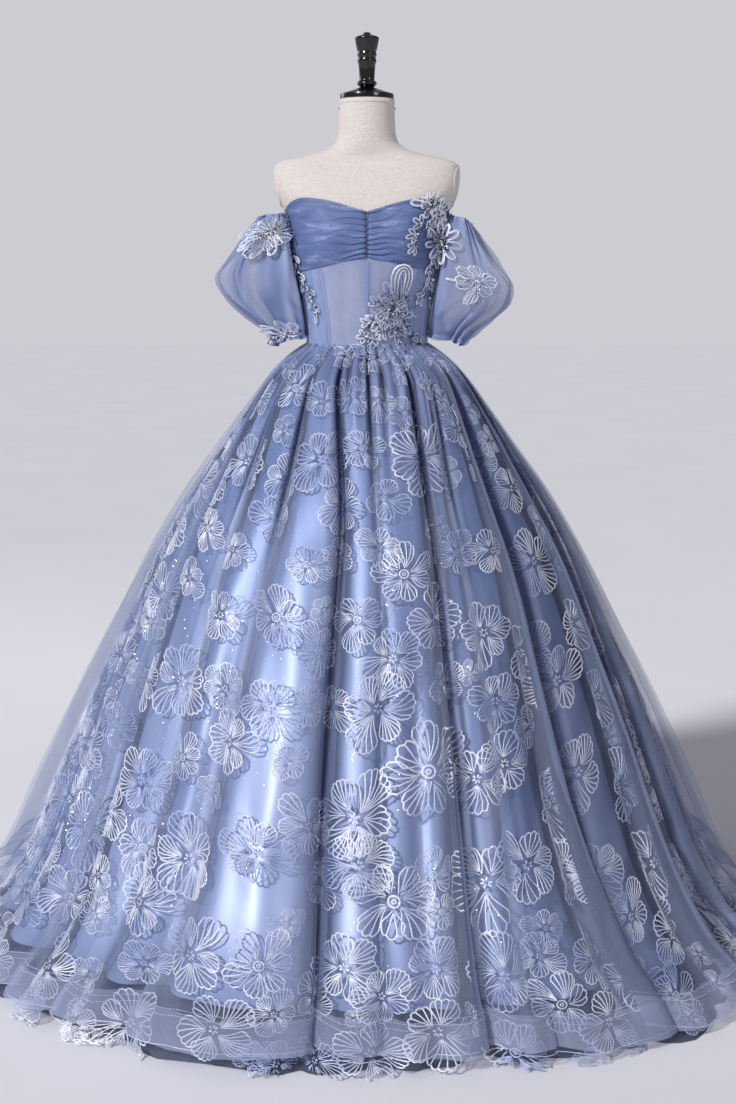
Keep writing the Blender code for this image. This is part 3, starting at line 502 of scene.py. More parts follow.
def wovenBraid():
    # horsehair braid: stiff nylon strands crossing on the bias, half clear
    material, tree, surface = newMaterial(
        "horsehairBraid", Roughness=0.38, Alpha=0.27, Sheen_Weight=0.3, Sheen_Tint="#e4e8ff")
    strands = []
    for turn in (0.8, -0.8):
        flat = addNode(tree, "ShaderNodeUVMap", uv_map="cloth")
        bias = addNode(tree, "ShaderNodeMapping", {"Vector": flat, "Rotation": (0, 0, turn)})
        strands.append(addNode(tree, "ShaderNodeTexWave", {"Vector": bias, "Scale": 230.0, "Distortion": 0.6}))
    cross = addNode(tree, "ShaderNodeMath", {k: strand.outputs["Fac"] for k, strand in enumerate(strands)},
                    operation="MAXIMUM")
    addNode(tree, "ShaderNodeValToRGB", {"Fac": cross}, surface["Base Color"], [(0.2, "#a3add6"), (0.95, "#c8d0ee")])
    addNode(tree, "ShaderNodeBump", {"Height": cross, "Strength": 0.3, "Distance": 0.0005}, surface["Normal"])
    return material


def shinyCord(name, dark, light, metallic=0.15, roughness=0.42, waistShade=None):
    # embroidery cord of white rayon wound with a silver thread: pale, with a broken silky shine
    material, tree, surface = newMaterial(
        name, Roughness=roughness, Metallic=metallic, Sheen_Weight=0.2, Sheen_Tint="#ffffff")
    place = addNode(tree, "ShaderNodeTexCoord").outputs["Object"]
    wound = addNode(tree, "ShaderNodeTexNoise", {"Vector": place, "Scale": 420, "Detail": 2.0})
    patch = addNode(tree, "ShaderNodeTexNoise", {"Vector": place, "Scale": 9, "Detail": 2.0})
    both = addNode(tree, "ShaderNodeMath", {0: wound, 1: 0.5, 2: patch}, operation="MULTIPLY_ADD")
    tone = addNode(tree, "ShaderNodeValToRGB", {"Fac": both}, stops=[(0.62, dark), (0.84, light)]).outputs[0]
    if waistShade:       # painted shade: towards the waist the cord's colour is darkened to blue, as among the gathers
        height = addNode(tree, "ShaderNodeSeparateXYZ", {0: place}).outputs[2]
        share = addNode(tree, "ShaderNodeMapRange",
                        {"Value": height, "From Min": 0.74, "From Max": 1.08, "To Max": 0.45})
        tone = addNode(tree, "ShaderNodeMix", {0: share, 6: tone, 7: waistShade}, data_type="RGBA").outputs[2]
    tree.links.new(tone, surface["Base Color"])
    addNode(tree, "ShaderNodeBump", {"Height": wound, "Strength": 0.3, "Distance": 0.0004}, surface["Normal"])
    return material


def glassBead(name, colour, metallic, roughness):
    # pressed glass or foil under a clear coat: a small hard highlight
    pale = tuple(min(1.0, c * 1.25) for c in toLinear(colour)[:3]) + (1.0,)
    return speckled(name, 60, 2.0, [(0.35, colour), (0.65, pale)], Roughness=roughness, Metallic=metallic,
                    Coat_Weight=0.8, Coat_Roughness=0.05)


# the last colour given to a sheer cloth is the painted shade of its creases
overskirtTulle = sheerCloth("glitterTulle", "#7688b8", "#a9b6da", 0.11, 0.25, 0.25, (22, 1.2), "#14214c")
laceNet = sheerCloth("embroideredNet", "#7e90bb", "#a0afd4", 0.09, sheen=0.3)
sleeveTulle = sheerCloth("sleeveTulle", "#6478a8", "#909ec8", 0.40, 0.46, 0.3, (34, 5), "#34457c")
midriffMesh = sheerCloth("midriffMesh", "#909bc3", "#a9b3d5", 0.74, sheen=0.15)
panelTulle = sheerCloth("panelTulle", "#7d8fbd", "#99a9cf", 0.88, sheen=0.2, streak=(60, 4))
darkNet = sheerCloth("petticoatNet", "#2a3249", "#3e4763", 0.72, sheen=0.1)
appliqueNet = sheerCloth("appliqueNet", "#97a3cb", "#b9c2e0", 0.20, sheen=0.2)
liningSatin, cupTulle, braidFinish = heavySatin(), ruchedTulle(), wovenBraid()
silverCord = shinyCord("silverCord", "#a3afd6", "#f4f6fe", waistShade="#8898c6")
beadCord = shinyCord("appliqueCord", "#a9b2cf", "#eef1fa", 0.2, 0.42)
sewingThread = shinyCord("sewingThread", "#aeb6d8", "#d8dcf0", 0.0, 0.6)
pearl = glassBead("pearlBead", "#dfe0ea", 0.0, 0.12)
navyBead = glassBead("navyBead", "#141a33", 0.2, 0.1)
silverBead = glassBead("silverBead", "#c9ccd8", 0.9, 0.18)
glitter = glassBead("glitterFleck", "#dfe6ff", 0.6, 0.25)
print("stage: materials are mixed")

skirtShape = {
    "outline": (  # drop, radius on the crests, front and back reach
        (0, 0.1290, 1), (0.010, 0.1420, 1), (0.025, 0.1640, 1), (0.050, 0.1930, 1), (0.080, 0.2190, 1),
        (0.130, 0.2570, 1), (0.200, 0.3090, 1), (0.300, 0.3820, 1), (0.420, 0.4550, 1), (0.570, 0.5320, 1),
        (0.720, 0.6090, 1), (0.900, 0.6930, 1.01), (1.046, 0.7580, 1.06), (1.103, 0.8050, 1.09),
        (1.148, 0.8400, 1.09)),
    "folds": (  # angle at the waist, at mid height and at the hem, depth, half width, lean
        (-85, -61, -48, 0.050, 3.2, -0.5), (-60, -42, -38, 0.034, 2.6, -0.6), (-38, -27, -28, 0.042, 2.8, -0.5),
        (-22, -8, -7.5, 0.068, 2.6, 0.7), (2, 3, 2.5, 0.026, 2.0, 0.2), (27, 18.5, 12, 0.060, 2.2, 0.7),
        (44, 27, 21, 0.036, 2.4, 0.4), (60, 40, 33, 0.075, 3.0, 1.2), (80, 61, 48, 0.048, 3.2, 1.0),
        (92, 77, 63, 0.058, 3.4, 0.6), (103, 91, 79, 0.040, 3.4, -0.3), (114, 105, 95, 0.062, 3.8, 0.5),
        (125, 119, 111, 0.044, 3.4, 0.3), (136, 133, 126, 0.056, 3.6, -0.6), (147, 145, 141, 0.036, 3.2, 0.2),
        (158, 157, 154, 0.064, 3.6, 0.6), (169, 169, 168, 0.040, 3.2, -0.2), (181, 182, 183, 0.056, 3.6, -0.5),
        (193, 195, 197, 0.038, 3.2, 0.3), (205, 209, 213, 0.066, 3.8, -0.7), (217, 223, 228, 0.044, 3.4, -0.2),
        (229, 237, 244, 0.058, 3.8, 0.5), (241, 252, 262, 0.042, 3.4, -0.5), (252, 267, 279, 0.062, 3.8, -0.6),
        (264, 283, 297, 0.050, 3.6, -0.4)),
    # shade: how dark and how wide the painted shade is in the creases of single folds
    "shade": {3: (1.20, 0.9), 5: (1.45, 1.15), 7: (1.50, 1.9), 8: (1.50, 2.2), 9: (1.40, 1.8)},     # darkness
    # and width of the creases of single folds
    "midDrop": 0.35, "fullDrop": 1.103, "rightSeam": 23, "leftSeam": 10,    # the seams lie at these folds
    "waistWidth": 0.1180, "waistDepth": 0.0915, "gatherDepth": 0.0150, "gathersPerFold": 3, "ripples": 46,
    "waistTuck": (0.0068, 0.014),       # how far it is drawn in on the waist seam, and down to where
    "flutter": 0.0022, "hemSway": 0.0035, "hemWaves": (16, 0.010), "scallops": ((0.010, 8.1), (0.004, 3.3)),
    "quarters": ((-54, 24, 0.014), (37, 17, 0.034)),    # angle, half width and spread of the hem there
    "dips": ((-54, 24, 0.004), (37, 17, 0.018)),    # the same for how far the hem hangs lower
    "trail": ((-24, 5, 0.030), (-7, 6, 0.036), (35, 7, 0.044)),     # the petticoat's corners on the floor
    "steps": (  # inward step of the net, the lining and the petticoat at a drop
        (0, 0.0023, 0.0046, 0.0069), (0.025, 0.0060, 0.0110, 0.0150), (0.080, 0.0100, 0.0180, 0.0250),
        (0.200, 0.0160, 0.0280, 0.0400), (0.420, 0.0250, 0.0430, 0.0610), (0.720, 0.0360, 0.0580, 0.0800),
        (1.000, 0.0440, 0.0660, 0.0920), (1.103, 0.0400, 0.0660, 0.0880), (1.136, 0.0190, 0.0660, 0.0760),
        (1.148, 0.0120, 0.0660, 0.0660)),
    # the overskirt, the net, the lining and the petticoat each take this share of
    "foldShare": (1.0, 0.85, 0.95, 0.95), "gatherShare": (1.0, 0.9, 0.75, 0.6), "rippleShare": (1.0, 0.8, 1.0, 1.0),
}
foldTable = np.array(skirtShape["folds"], float)
foldCount = len(foldTable)
waver = np.random.default_rng(11).uniform(0, math.tau, (foldCount, 2))


def foldAngle(fold, drop):
    # angle of a fold's valley; folds past the last one go on round the skirt
    fold = np.asarray(fold, int)
    turnsRound, fold = fold // foldCount, fold % foldCount
    waist, middle, hem = foldTable[fold, 0], foldTable[fold, 1], foldTable[fold, 2]
    midDrop, fullDrop = skirtShape["midDrop"], skirtShape["fullDrop"]
    upper = 1 - (1 - np.clip(drop / midDrop, 0, 1)) ** 1.8
    lower = np.clip((drop - midDrop) / (fullDrop - midDrop), 0, 1.1)
    path = waist + (middle - waist) * upper + (hem - middle) * lower
    sway = 0.7 * np.sin(drop * 5.2 + waver[fold, 0]) * np.clip(drop / 0.4, 0, 1)
    return path + sway + 360 * turnsRound


def placeAngle(place, drop):
    # place counts the folds round the skirt: 4.0 is fold 4's valley and 4.5 half way to fold 5
    low = np.floor(place).astype(int)
    share = place - low
    return foldAngle(low, drop) * (1 - share) + foldAngle(low + 1, drop) * share


def eachFold(angle, drop, grow):
    # for every fold: its number, depth, lean, width, and how far the angles lie past its valley in
    # widths, below zero on the side whose crest leans over it
    for k, (_, _, _, depth, width, lean) in enumerate(skirtShape["folds"]):
        wide = width * (1.25 - 0.25 * grow)
        side = 1 if lean > 0 else -1
        yield k, depth, min(abs(lean), 1.2), side, wide, ((angle - foldAngle(k, drop) + 180) % 360 - 180) / wide * side


def bump(angle, rows):
    # soft rises round the skirt; rows: angle, half width, height
    bearing = (angle + 180) % 360 - 180
    return sum(height * np.exp(-((bearing - middle) / width) ** 2) for middle, width, height in rows)


def fromPlace(place, spot):
    return (place - spot + foldCount / 2) % foldCount - foldCount / 2


gatherDice = np.random.default_rng(5)
gathers = []   # place, depth, half width, end drop
for number in range(foldCount * skirtShape["gathersPerFold"]):
    strong = number % 3 == 0
    gathers.append((
        number / 3 + gatherDice.uniform(-0.08, 0.08),
        gatherDice.uniform(0.85, 1.2) if strong else gatherDice.uniform(0.55, 1.05),
        gatherDice.uniform(0.050, 0.075),
        gatherDice.uniform(0.30, 0.50) if strong else gatherDice.uniform(0.12, 0.36)))
ripples = [(    # place, start, length, depth, half width
    gatherDice.uniform(0, foldCount), gatherDice.uniform(0.10, 0.55), gatherDice.uniform(0.5, 1.2),
    gatherDice.uniform(0.008, 0.018) * gatherDice.choice([-1, 1], p=[0.75, 0.25]), gatherDice.uniform(0.13, 0.26))
    for _ in range(skirtShape["ripples"])]


def gatherDepth(place, drop):
    total = np.zeros_like(drop)
    for spot, depth, width, end in gathers:
        run = np.clip(drop / end, 0, 1)
        swell = np.sin(math.pi * run ** 0.38) ** 1.1
        total = total + depth * swell * np.exp(-(fromPlace(place, spot) / (width * (1 + 1.3 * run))) ** 2)
    return total * skirtShape["gatherDepth"] * np.clip(drop / 0.008, 0, 1)


def softRipple(place, drop):
    # shallow folds that start and die away between the main ones
    total = np.zeros_like(drop)
    for spot, start, length, depth, width in ripples:
        run = np.clip((drop - start) / length, 0, 1)
        swell = np.sin(math.pi * np.minimum(run, 0.62))
        total = total + depth * swell * np.exp(-(fromPlace(place, spot) / width) ** 2)
    return total


def skirtPoint(place, drop, layer):
    # layer: 0 overskirt, 1 net, 2 lining, 3 petticoat
    place, drop = np.broadcast_arrays(np.asarray(place, float), np.asarray(drop, float))
    angle = placeAngle(place, drop)
    grow = np.clip(drop / skirtShape["fullDrop"], 0, 1.05)
    radius, plan = readTable(drop, skirtShape["outline"], 1, 2)
    inward, lean = np.zeros_like(radius), np.zeros_like(radius)
    for _, depth, tip, side, wide, away in eachFold(angle, drop, np.clip(grow, 0, 1)):
        slant = 1 - 0.45 * min(tip, 1)
        steep, easy = away / np.where(away < 0, slant, 2 - slant), away / 2.8
        crease = np.exp(-(away / 0.40) ** 2) if layer else 0.0
        wave = (0.46 if layer else 0.80) * np.exp(-steep ** 2) + 0.34 * crease + 0.20 * np.exp(-easy ** 2)
        inward = inward + depth * grow ** 0.6 * wave
        if layer == 0:
            near = np.exp(-((away + 0.6) / 0.5) ** 2)
            lean = lean + side * tip * 1.45 * wide * near * np.clip(grow * 1.15 - 0.12, 0, 1)
    turn = np.radians(angle)
    waistWidth, waistDepth = skirtShape["waistWidth"], skirtShape["waistDepth"]
    top = 1 / np.hypot(np.sin(turn) / waistWidth, np.cos(turn) / waistDepth)
    nearWaist = np.clip(1 - drop / 0.060, 0, 1)
    crest = nearWaist * (top + radius - waistWidth) + (1 - nearWaist) * radius
    tuck, tuckEnd = skirtShape["waistTuck"]
    crest = crest - tuck * np.clip(1 - drop / tuckEnd, 0, 1) ** 2
    step = readTable(drop, skirtShape["steps"], layer)[0] if layer else 0.0
    outer = readTable(drop + 0.004, skirtShape["outline"], 1)[0]
    flare = (outer - readTable(np.maximum(drop - 0.004, 0), skirtShape["outline"], 1)[0]) / 0.008
    upright = 1 / np.hypot(1, flare)
    gather = gatherDepth(place, drop) * skirtShape["gatherShare"][layer]
    if layer == 3:      # the petticoat's hem spreads in its own waves
        low = np.clip((drop - 1.0) / 0.14, 0, 1)
        inward = inward * (1 - 0.45 * low)
        swing = 0.7 + 0.3 * np.sin(math.tau * place * 7 / foldCount)
        waves, high = skirtShape["hemWaves"]
        step = step - high * low * np.cos(math.tau * (place - 27.9) * waves / foldCount) * swing
        step = step - low * bump(angle, skirtShape["trail"])
    radius = crest - step - skirtShape["foldShare"][layer] * inward - gather * upright
    radius = radius + softRipple(place, drop) * skirtShape["rippleShare"][layer]
    radius = radius + bump(angle, skirtShape["quarters"]) * np.clip((drop - 0.80) / 0.30, 0, 1.1)
    if layer == 0:      # the tulle is never quite smooth
        flutter = np.sin(place * 31 + 3 * np.sin(drop * 7)) * np.cos(drop * 5 + place * 3)
        radius = radius + skirtShape["flutter"] * grow * flutter
    turn = turn + np.radians(lean)
    facing = np.clip(np.abs(np.cos(turn)) / 0.60, 0, 1)
    facing = facing * facing * (3 - 2 * facing)
    reach = radius * (1 + (plan - 1) * facing)
    sunk = gather * upright * np.minimum(flare, 1.4) * np.clip(1 - drop / 0.6, 0, 1)
    return np.stack([reach * np.sin(turn), -reach * np.cos(turn), waistHeight - drop - sunk], -1)


def drawnTogether(place, drop):
    # how much of the overskirt lies doubled: along the leaning side of each fold, and in the waist's gathers
    place, drop = np.broadcast_arrays(place, drop)
    angle, total = placeAngle(place, drop), np.zeros(place.shape)
    grow = np.clip(drop / skirtShape["fullDrop"], 0, 1)
    for _, _, tip, _, _, away in eachFold(angle, drop, grow):
        band = np.clip((away + 2.3) / 1.3, 0, 1) * np.clip((-0.15 - away) / 0.25, 0, 1)
        total = np.maximum(total, band * (0.45 + 0.55 * tip) * np.clip(grow * 3, 0.3, 1))
    streaks = 0.25 * np.sin(place * 23 + np.sin(place * 5)) ** 6
    return np.clip(total + streaks + 0.5 * np.exp(-drop / 0.05), 0, 1)


def paintedShadeAndHighlight(place, drop):
    # painted shade: how deep in a crease the lining lies, at the folds' valleys and in the gathers; painted highlight:
    # how near a crest it lies
    place, drop = np.broadcast_arrays(place, drop)
    angle, total, clear = placeAngle(place, drop), np.zeros(place.shape), np.ones(place.shape)
    grow = np.clip(drop / skirtShape["fullDrop"], 0, 1)
    for k, depth, _, _, _, away in eachFold(angle, drop, grow):
        strength, spread = skirtShape["shade"].get(k, (min(depth / 0.062, 1.0), 1.0))
        core = np.exp(-((away - 0.15) / np.where(away < 0.15, 0.55, 0.66 * spread)) ** 2)
        slope = 0.50 * np.exp(-((away - 0.5) / (1.1 * spread)) ** 2) * grow ** 0.5
        total = np.maximum(total, np.maximum(core, slope) * strength * np.clip(drop / 0.08, 0.4, 1))
        clear = clear * (1 - np.exp(-((away - 0.3) / (1.9 * spread ** 0.5)) ** 2))
    narrow = gatherDepth(place, drop) / skirtShape["gatherDepth"]
    tucks = np.zeros(place.shape)
    for spot, depth, _, _ in gathers:
        near = np.exp(-(fromPlace(place, spot) / (0.062 + 0.5 * drop)) ** 2)
        tucks = np.maximum(tucks, np.clip((depth - 0.72) / 0.3, 0, 1) * near)
    total = np.maximum(total, 1.05 * tucks * np.exp(-(drop / 0.065) ** 2))
    return np.clip(0.95 * total + 0.85 * narrow ** 1.4, 0, 1), np.clip(clear * (drop - 0.32) / 0.40, 0, 1)


def placesAround(first, last, perFold):
    # places from seam to seam, closer together near the folds' valleys
    steps = np.arange((last - first) * perFold + 1) / perFold + first
    return steps - 0.105 * np.sin(math.tau * steps)


def flatCloth(points, places, centre):
    # flat cloth coordinates: the length along each row from the centre place, and the length down
    along = np.cumsum(np.linalg.norm(np.diff(points, axis=0), axis=2), 0)
    along = np.concatenate([np.zeros((1, points.shape[1])), along])
    zero = np.array([np.interp(centre, places, along[:, k]) for k in range(points.shape[1])])
    down = np.concatenate([[0], np.cumsum(np.linalg.norm(np.diff(points, axis=1), axis=2).max(0))])
    return np.stack([along - zero, np.broadcast_to(-down, along.shape)], -1)


def hemLift(places, drops):
    dip = bump(placeAngle(places, skirtShape["fullDrop"]), skirtShape["dips"])
    sway = skirtShape["hemSway"] * (1 + np.sin(places * 2.9))
    return (sway - dip) * np.clip((drops - 0.9) / 0.2, 0, 1)


halves = {      # first and last fold, centre
    "Front": (skirtShape["rightSeam"], skirtShape["leftSeam"] + foldCount, 29.0),
    "Back": (skirtShape["leftSeam"], skirtShape["rightSeam"], 16.5)}
skirtParts = {      # columns to a fold, rows, where it starts and ends, how its rows crowd to the top
    "overskirt": {"columns": 26, "rows": 84, "from": 0.0, "to": 1.118, "ease": 1.35, "finish": overskirtTulle,
                  "slot": "overskirt_tulle", "node": "overskirt_"},
    "laceSkirt": {"columns": 16, "rows": 56, "from": 0.0, "to": 1.128, "ease": 1.35, "finish": laceNet,
                  "slot": "lace_net", "node": "lace_skirt_"},
    "liningSkirt": {"columns": 28, "rows": 64, "from": 0.002, "to": 1.080, "ease": 1.2, "finish": liningSatin,
                    "slot": "satin", "node": "lining_skirt_"},
    "petticoat": {"columns": 10, "rows": 40, "from": 0.012, "to": 1.1472, "ease": 0.9, "finish": darkNet,
                  "slot": "dark_net", "node": "petticoat_"},
}


def addSkirt(name, part, layer, half):
    first, last, centre = halves[half]
    places = placesAround(first, last, part["columns"])
    drops = part["from"] + (part["to"] - part["from"]) * np.linspace(0, 1, part["rows"]) ** part["ease"]
    grid = np.broadcast_to(drops, (len(places), len(drops))).copy()
    if name == "laceSkirt":     # the net is cut in scallops along the flowers
        (deep, often), (slight, seldom) = skirtShape["scallops"]
        scallop = deep * np.abs(np.sin(places * often)) + slight * np.sin(places * seldom)
        grid += scallop[:, None] * np.clip((grid - 1.0) / 0.118, 0, 1)
    if name == "overskirt":     # the hem dips and lifts a little from fold to fold
        grid -= hemLift(places[:, None], grid)
    points = skirtPoint(places[:, None], grid, layer)
    mesh = gridMesh(name + half, points, flatCloth(points, places, centre))
    if name == "overskirt":
        # painted shade: the overskirt is darkened where it lies deep in a crease
        sunk = (paintedShadeAndHighlight(places[:, None], grid)[0] - 0.42) / 0.5
        keepValues(mesh, drawn=drawnTogether(places[:, None], grid), sunk=np.clip(sunk, 0, 1))
    if name == "liningSkirt":
        # painted shade in the lining's creases and painted highlight on its crests
        dark, crest = paintedShadeAndHighlight(places[:, None], grid)
        keepValues(mesh, drawn=dark, crest=crest)
    worn(newPiece(name + half, mesh, part["finish"]), part["slot"], part["node"] + half.lower())


for layer, (name, part) in enumerate(skirtParts.items()):
    for half in halves:
        addSkirt(name, part, layer, half)
print("stage: skirts are hung")

bodiceShape = {
    "edges": (   # angle, rise of the neckline, rise of the cup's lower edge
        (0, 0.254, 0.166), (12, 0.267, 0.161), (25, 0.277, 0.153), (40, 0.281, 0.146), (55, 0.274, 0.141),
        (72, 0.259, 0.137), (88, 0.248, 0.134), (120, 0.234, 0.134), (180, 0.226, 0.134)),
    "tuck": 0.006, "rolledShare": (1.004, 1.003, 0.985, 0.95), "rolledDepth": (0.0008, 0.0018, 0.0023, 0.0025),
    "cupOut": 0.0036, "cupEnd": 87.9, "pleatHeight": 0.0027, "pleats": 8.4, "pleatSizes": 24, "finePleat": 0.0007,
    "seamGap": 0.06, "seamDip": (0.0008, 1.3), "centreDip": (0.0030, 1.5), "wrinkle": 0.0005, "stripRise": 0.0014,
}
neckline, cupEdge = 1, 2    # columns of the edges


def bodiceEdge(angle, column):
    bearing = np.abs((np.asarray(angle, float) + 180) % 360 - 180)
    return readTable(bearing, bodiceShape["edges"], column)[0]


def rolledRows(count):
    # rows past the edge turn the cloth in against the form
    share = np.concatenate([np.linspace(0, 1, count), bodiceShape["rolledShare"]])
    return share, np.concatenate([np.zeros(count), bodiceShape["rolledDepth"]])


def layOver(name, angles, rise, distance, girth, finish, slotName, node, **kept):
    # a bodice piece at a distance from the form; girth: metres of cloth to a radian
    cloth = np.stack(np.broadcast_arrays(np.radians(angles) * girth, rise), -1)
    mesh = gridMesh(name, overForm(angles, rise, distance), cloth)
    keepValues(mesh, **kept)
    worn(newPiece(name, mesh, finish), slotName, node)


def addPanel(name, start, end, edge, out, finish, slotName, node, columns=40):
    gap, (dip, dipWidth) = bodiceShape["seamGap"], bodiceShape["seamDip"]
    angles = np.linspace(start + gap, end - gap, columns)[:, None]
    share, tuck = rolledRows(44) if edge == neckline else (np.linspace(0, 1, 44), np.zeros(44))
    rise = (bodiceEdge(angles, edge) + bodiceShape["tuck"]) * share[None, :] - bodiceShape["tuck"]
    seam = np.minimum(angles - start, end - angles)
    distance = out - tuck[None, :] - dip * np.exp(-(seam / dipWidth) ** 2)
    wrinkle = np.sin(rise * 150 + angles * 0.11) * np.sin(angles * 0.21 + rise * 40)
    distance = distance + bodiceShape["wrinkle"] * wrinkle * np.clip(seam / 6, 0, 1)
    layOver(name, angles, rise, distance, 0.13, finish, slotName, node)


pleatSize = np.random.default_rng(8).uniform(0.45, 1.25, bodiceShape["pleatSizes"])


def addCup(name, side, node):
    # tulle drawn from the front centre round the bust; each pleat hangs over the one below
    angles = np.linspace(0.15, bodiceShape["cupEnd"], 130)[:, None]
    share, tuck = rolledRows(120)
    low, high = bodiceEdge(angles, cupEdge), bodiceEdge(angles, neckline)
    rise = low + (high - low) * share[None, :]
    flat = np.clip(share, 0, 1)[None, :]
    nearCentre = np.exp(-(angles / 13) ** 2)
    bow = 0.95 * np.sin(angles * 0.050 + 0.9 + side * 0.6) * np.sin(math.pi * flat)
    wander = bow + 0.55 * np.sin(angles * 0.13 + flat * 8 + side) * (1 - nearCentre)
    fan = flat * bodiceShape["pleats"] + wander + 3
    phase, number = fan % 1, np.floor(fan).astype(int)
    ridge = (1 - phase) ** 1.2 * np.clip(phase / 0.16, 0, 1)
    size, reach = (pleatSize[(number + k) % len(pleatSize)] for k in (0, 7))
    fade = np.clip((reach * 52 + 6 - angles) / 24, 0.04, 1)     # most pleats die away over the bust
    height = bodiceShape["pleatHeight"] * size * (0.50 * fade + 1.25 * nearCentre)
    fine = (fan * 2.7 + 0.3 * np.sin(angles * 0.3)) % 1
    distance = bodiceShape["cupOut"] + height * ridge
    distance = distance + bodiceShape["finePleat"] * (1 - fine) * np.clip(fine / 0.2, 0, 1) * (0.35 + nearCentre)
    dip, dipWidth = bodiceShape["centreDip"]
    distance = distance - dip * np.exp(-(angles / dipWidth) ** 2) - tuck[None, :]
    distance = distance - 0.0015 * np.clip(1 - flat / 0.03, 0, 1)
    # painted shade: darker in the pleats' valleys, along the front centre seam and under the rolled top edge
    valley = np.clip(1 - phase / 0.13, 0, 1) + np.clip((phase - 0.70) / 0.30, 0, 1) ** 2
    dark = valley * size * (0.32 * fade + 0.44 * nearCentre) + 0.8 * np.exp(-(angles / 1.1) ** 2)
    dark = dark + 0.5 * np.exp(-((flat - 0.955) / 0.012) ** 2)
    layOver(name, side * angles, rise, np.maximum(distance, 0.0009), 0.15, cupTulle, "blue_tulle", node,
            drawn=np.clip(dark, 0, 0.95))


def addStrip(name, angle, width, high, out, slotName, node):
    # a narrow channel sewn flat over a seam, rounded across by the boning inside
    across = np.linspace(-1, 1, 9)[:, None]
    angles, rise = np.broadcast_arrays(angle + np.degrees(width * 0.5 / 0.11) * across,
                                       np.linspace(0.001, high, 60)[None, :])
    swell = (1 - across ** 4) * np.where(np.abs(across) > 0.99, 0, 1)
    out = out + bodiceShape["stripRise"] * swell + 0 * rise
    layOver(name, angles, rise, out, 0.13, panelTulle, slotName, node)


for word, side in (("Left", 1), ("Right", -1)):
    addCup("bustDrape" + word, side, "bust_drape_" + word.lower())
for word, piece, start, end, edge, out, finish, slotName in (
        ("midriff", "midriff_front_", 0, 38, cupEdge, 0.0030, midriffMesh, "lavender_mesh"),
        ("sidePanel", "side_panel_", 38, 88, cupEdge, 0.0034, panelTulle, "blue_tulle")):
    addPanel(word + "Left", start, end, edge, out, finish, slotName, piece + "left")
    addPanel(word + "Right", -end, -start, edge, out, finish, slotName, piece + "right")
for word, start, end in (("Left", 88, 180), ("Right", 180, 272)):
    addPanel("backPanel" + word, start, end, neckline, 0.0034, panelTulle, "blue_tulle",
             "back_panel_" + word.lower(), 64)
addStrip("boningCentre", 0.0, 0.0065, 0.160, 0.0030, "blue_tulle", "boning_centre")
addStrip("boningLeft", 38.0, 0.0075, 0.142, 0.0030, "blue_tulle", "boning_left")
addStrip("boningRight", -38.0, 0.0075, 0.142, 0.0030, "blue_tulle", "boning_right")
addStrip("backZip", 180.0, 0.0140, 0.222, 0.0032, "zip_tape", "back_zip")
print("stage: bodice is fitted")

sleeveShape = {
    "rings": (   # ring, rise at the body side, rise at the outer side, reach, half depth, and how much
        # lower and further out the left sleeve hangs
        (0, 0.256, 0.247, 0.2200, 0.050, 0.012, -0.008), (1, 0.222, 0.206, 0.2500, 0.062, 0.012, -0.014),
        (2, 0.180, 0.166, 0.2740, 0.070, 0.014, -0.014), (3, 0.140, 0.128, 0.2920, 0.074, 0.014, -0.004),
        (4, 0.102, 0.090, 0.2800, 0.070, 0.010, 0.009), (5, 0.068, 0.052, 0.2420, 0.060, 0.004, 0.018),
        (6, 0.038, 0.020, 0.2060, 0.049, 0.002, 0.014), (7, 0.014, -0.004, 0.1960, 0.047, 0.000, 0.004)),
    "bodyGap": 0.0046, "columns": 200, "rows": 56, "foldDepth": 0.0125, "folds": 26, "seeds": {1: 21, -1: 34},
    "appliqueGap": 0.0016, "frill": 0.0035, "drawnIn": 0.0035, "cuffWave": 0.0030,
}


def sleevePoint(side, turn, ring, distance):
    # turn 0 is outermost, -90 the front and 180 next to the body
    innerRise, outerRise, reach, halfDepth, drop, further = readTable(ring, sleeveShape["rings"], 1, 2, 3, 4, 5, 6)
    if side > 0:
        outerRise, reach = outerRise - drop, reach + further
    across, along = np.cos(np.radians(turn)), np.sin(np.radians(turn))
    y = (halfDepth + distance) * along
    gap = sleeveShape["bodyGap"]
    middle = (formFlank(innerRise, 0.0) + gap + reach) / 2
    inner = middle - (middle - formFlank(innerRise, y) - gap) * np.abs(across) ** 0.42     # lies along the bodice
    outer = middle + (reach - middle + distance) * across
    x = side * np.where(across < 0, inner - np.minimum(distance, 0) * 0.1, outer)
    z = waistHeight + (innerRise + outerRise) / 2 + (outerRise - innerRise) / 2 * across
    frill = sleeveShape["frill"] * np.sin(np.radians(turn) * 9 + 2 * side) * np.clip((ring - 6.2) / 0.8, 0, 1)
    return np.stack(np.broadcast_arrays(x, y, z + frill * (0.4 + 0.6 * across)), -1)


def sleeveFolds(side, turn, ring):
    dice = np.random.default_rng(sleeveShape["seeds"][side])
    total = np.zeros(np.broadcast(turn, ring).shape)
    count = sleeveShape["folds"]
    for number in range(count):
        spot = number * 360 / count + dice.uniform(-5, 5)
        depth, width, slant = dice.uniform(0.5, 1.2), dice.uniform(2.8, 5.2), dice.uniform(-4, 4)
        top = np.exp(-(ring / dice.uniform(1.4, 3.2)) ** 2)
        bottom = np.exp(-((ring - 7) / dice.uniform(1.4, 3.2)) ** 2)
        run = np.maximum(top, bottom) * 0.8 + (0.62 if number % 3 == 0 else 0.10)     # every third runs right down
        away = (turn - spot - slant * ring + 180) % 360 - 180
        total = total + depth * run * np.exp(-(away / (width * (1 + 0.8 * np.sin(math.pi * ring / 7)))) ** 2)
    return total


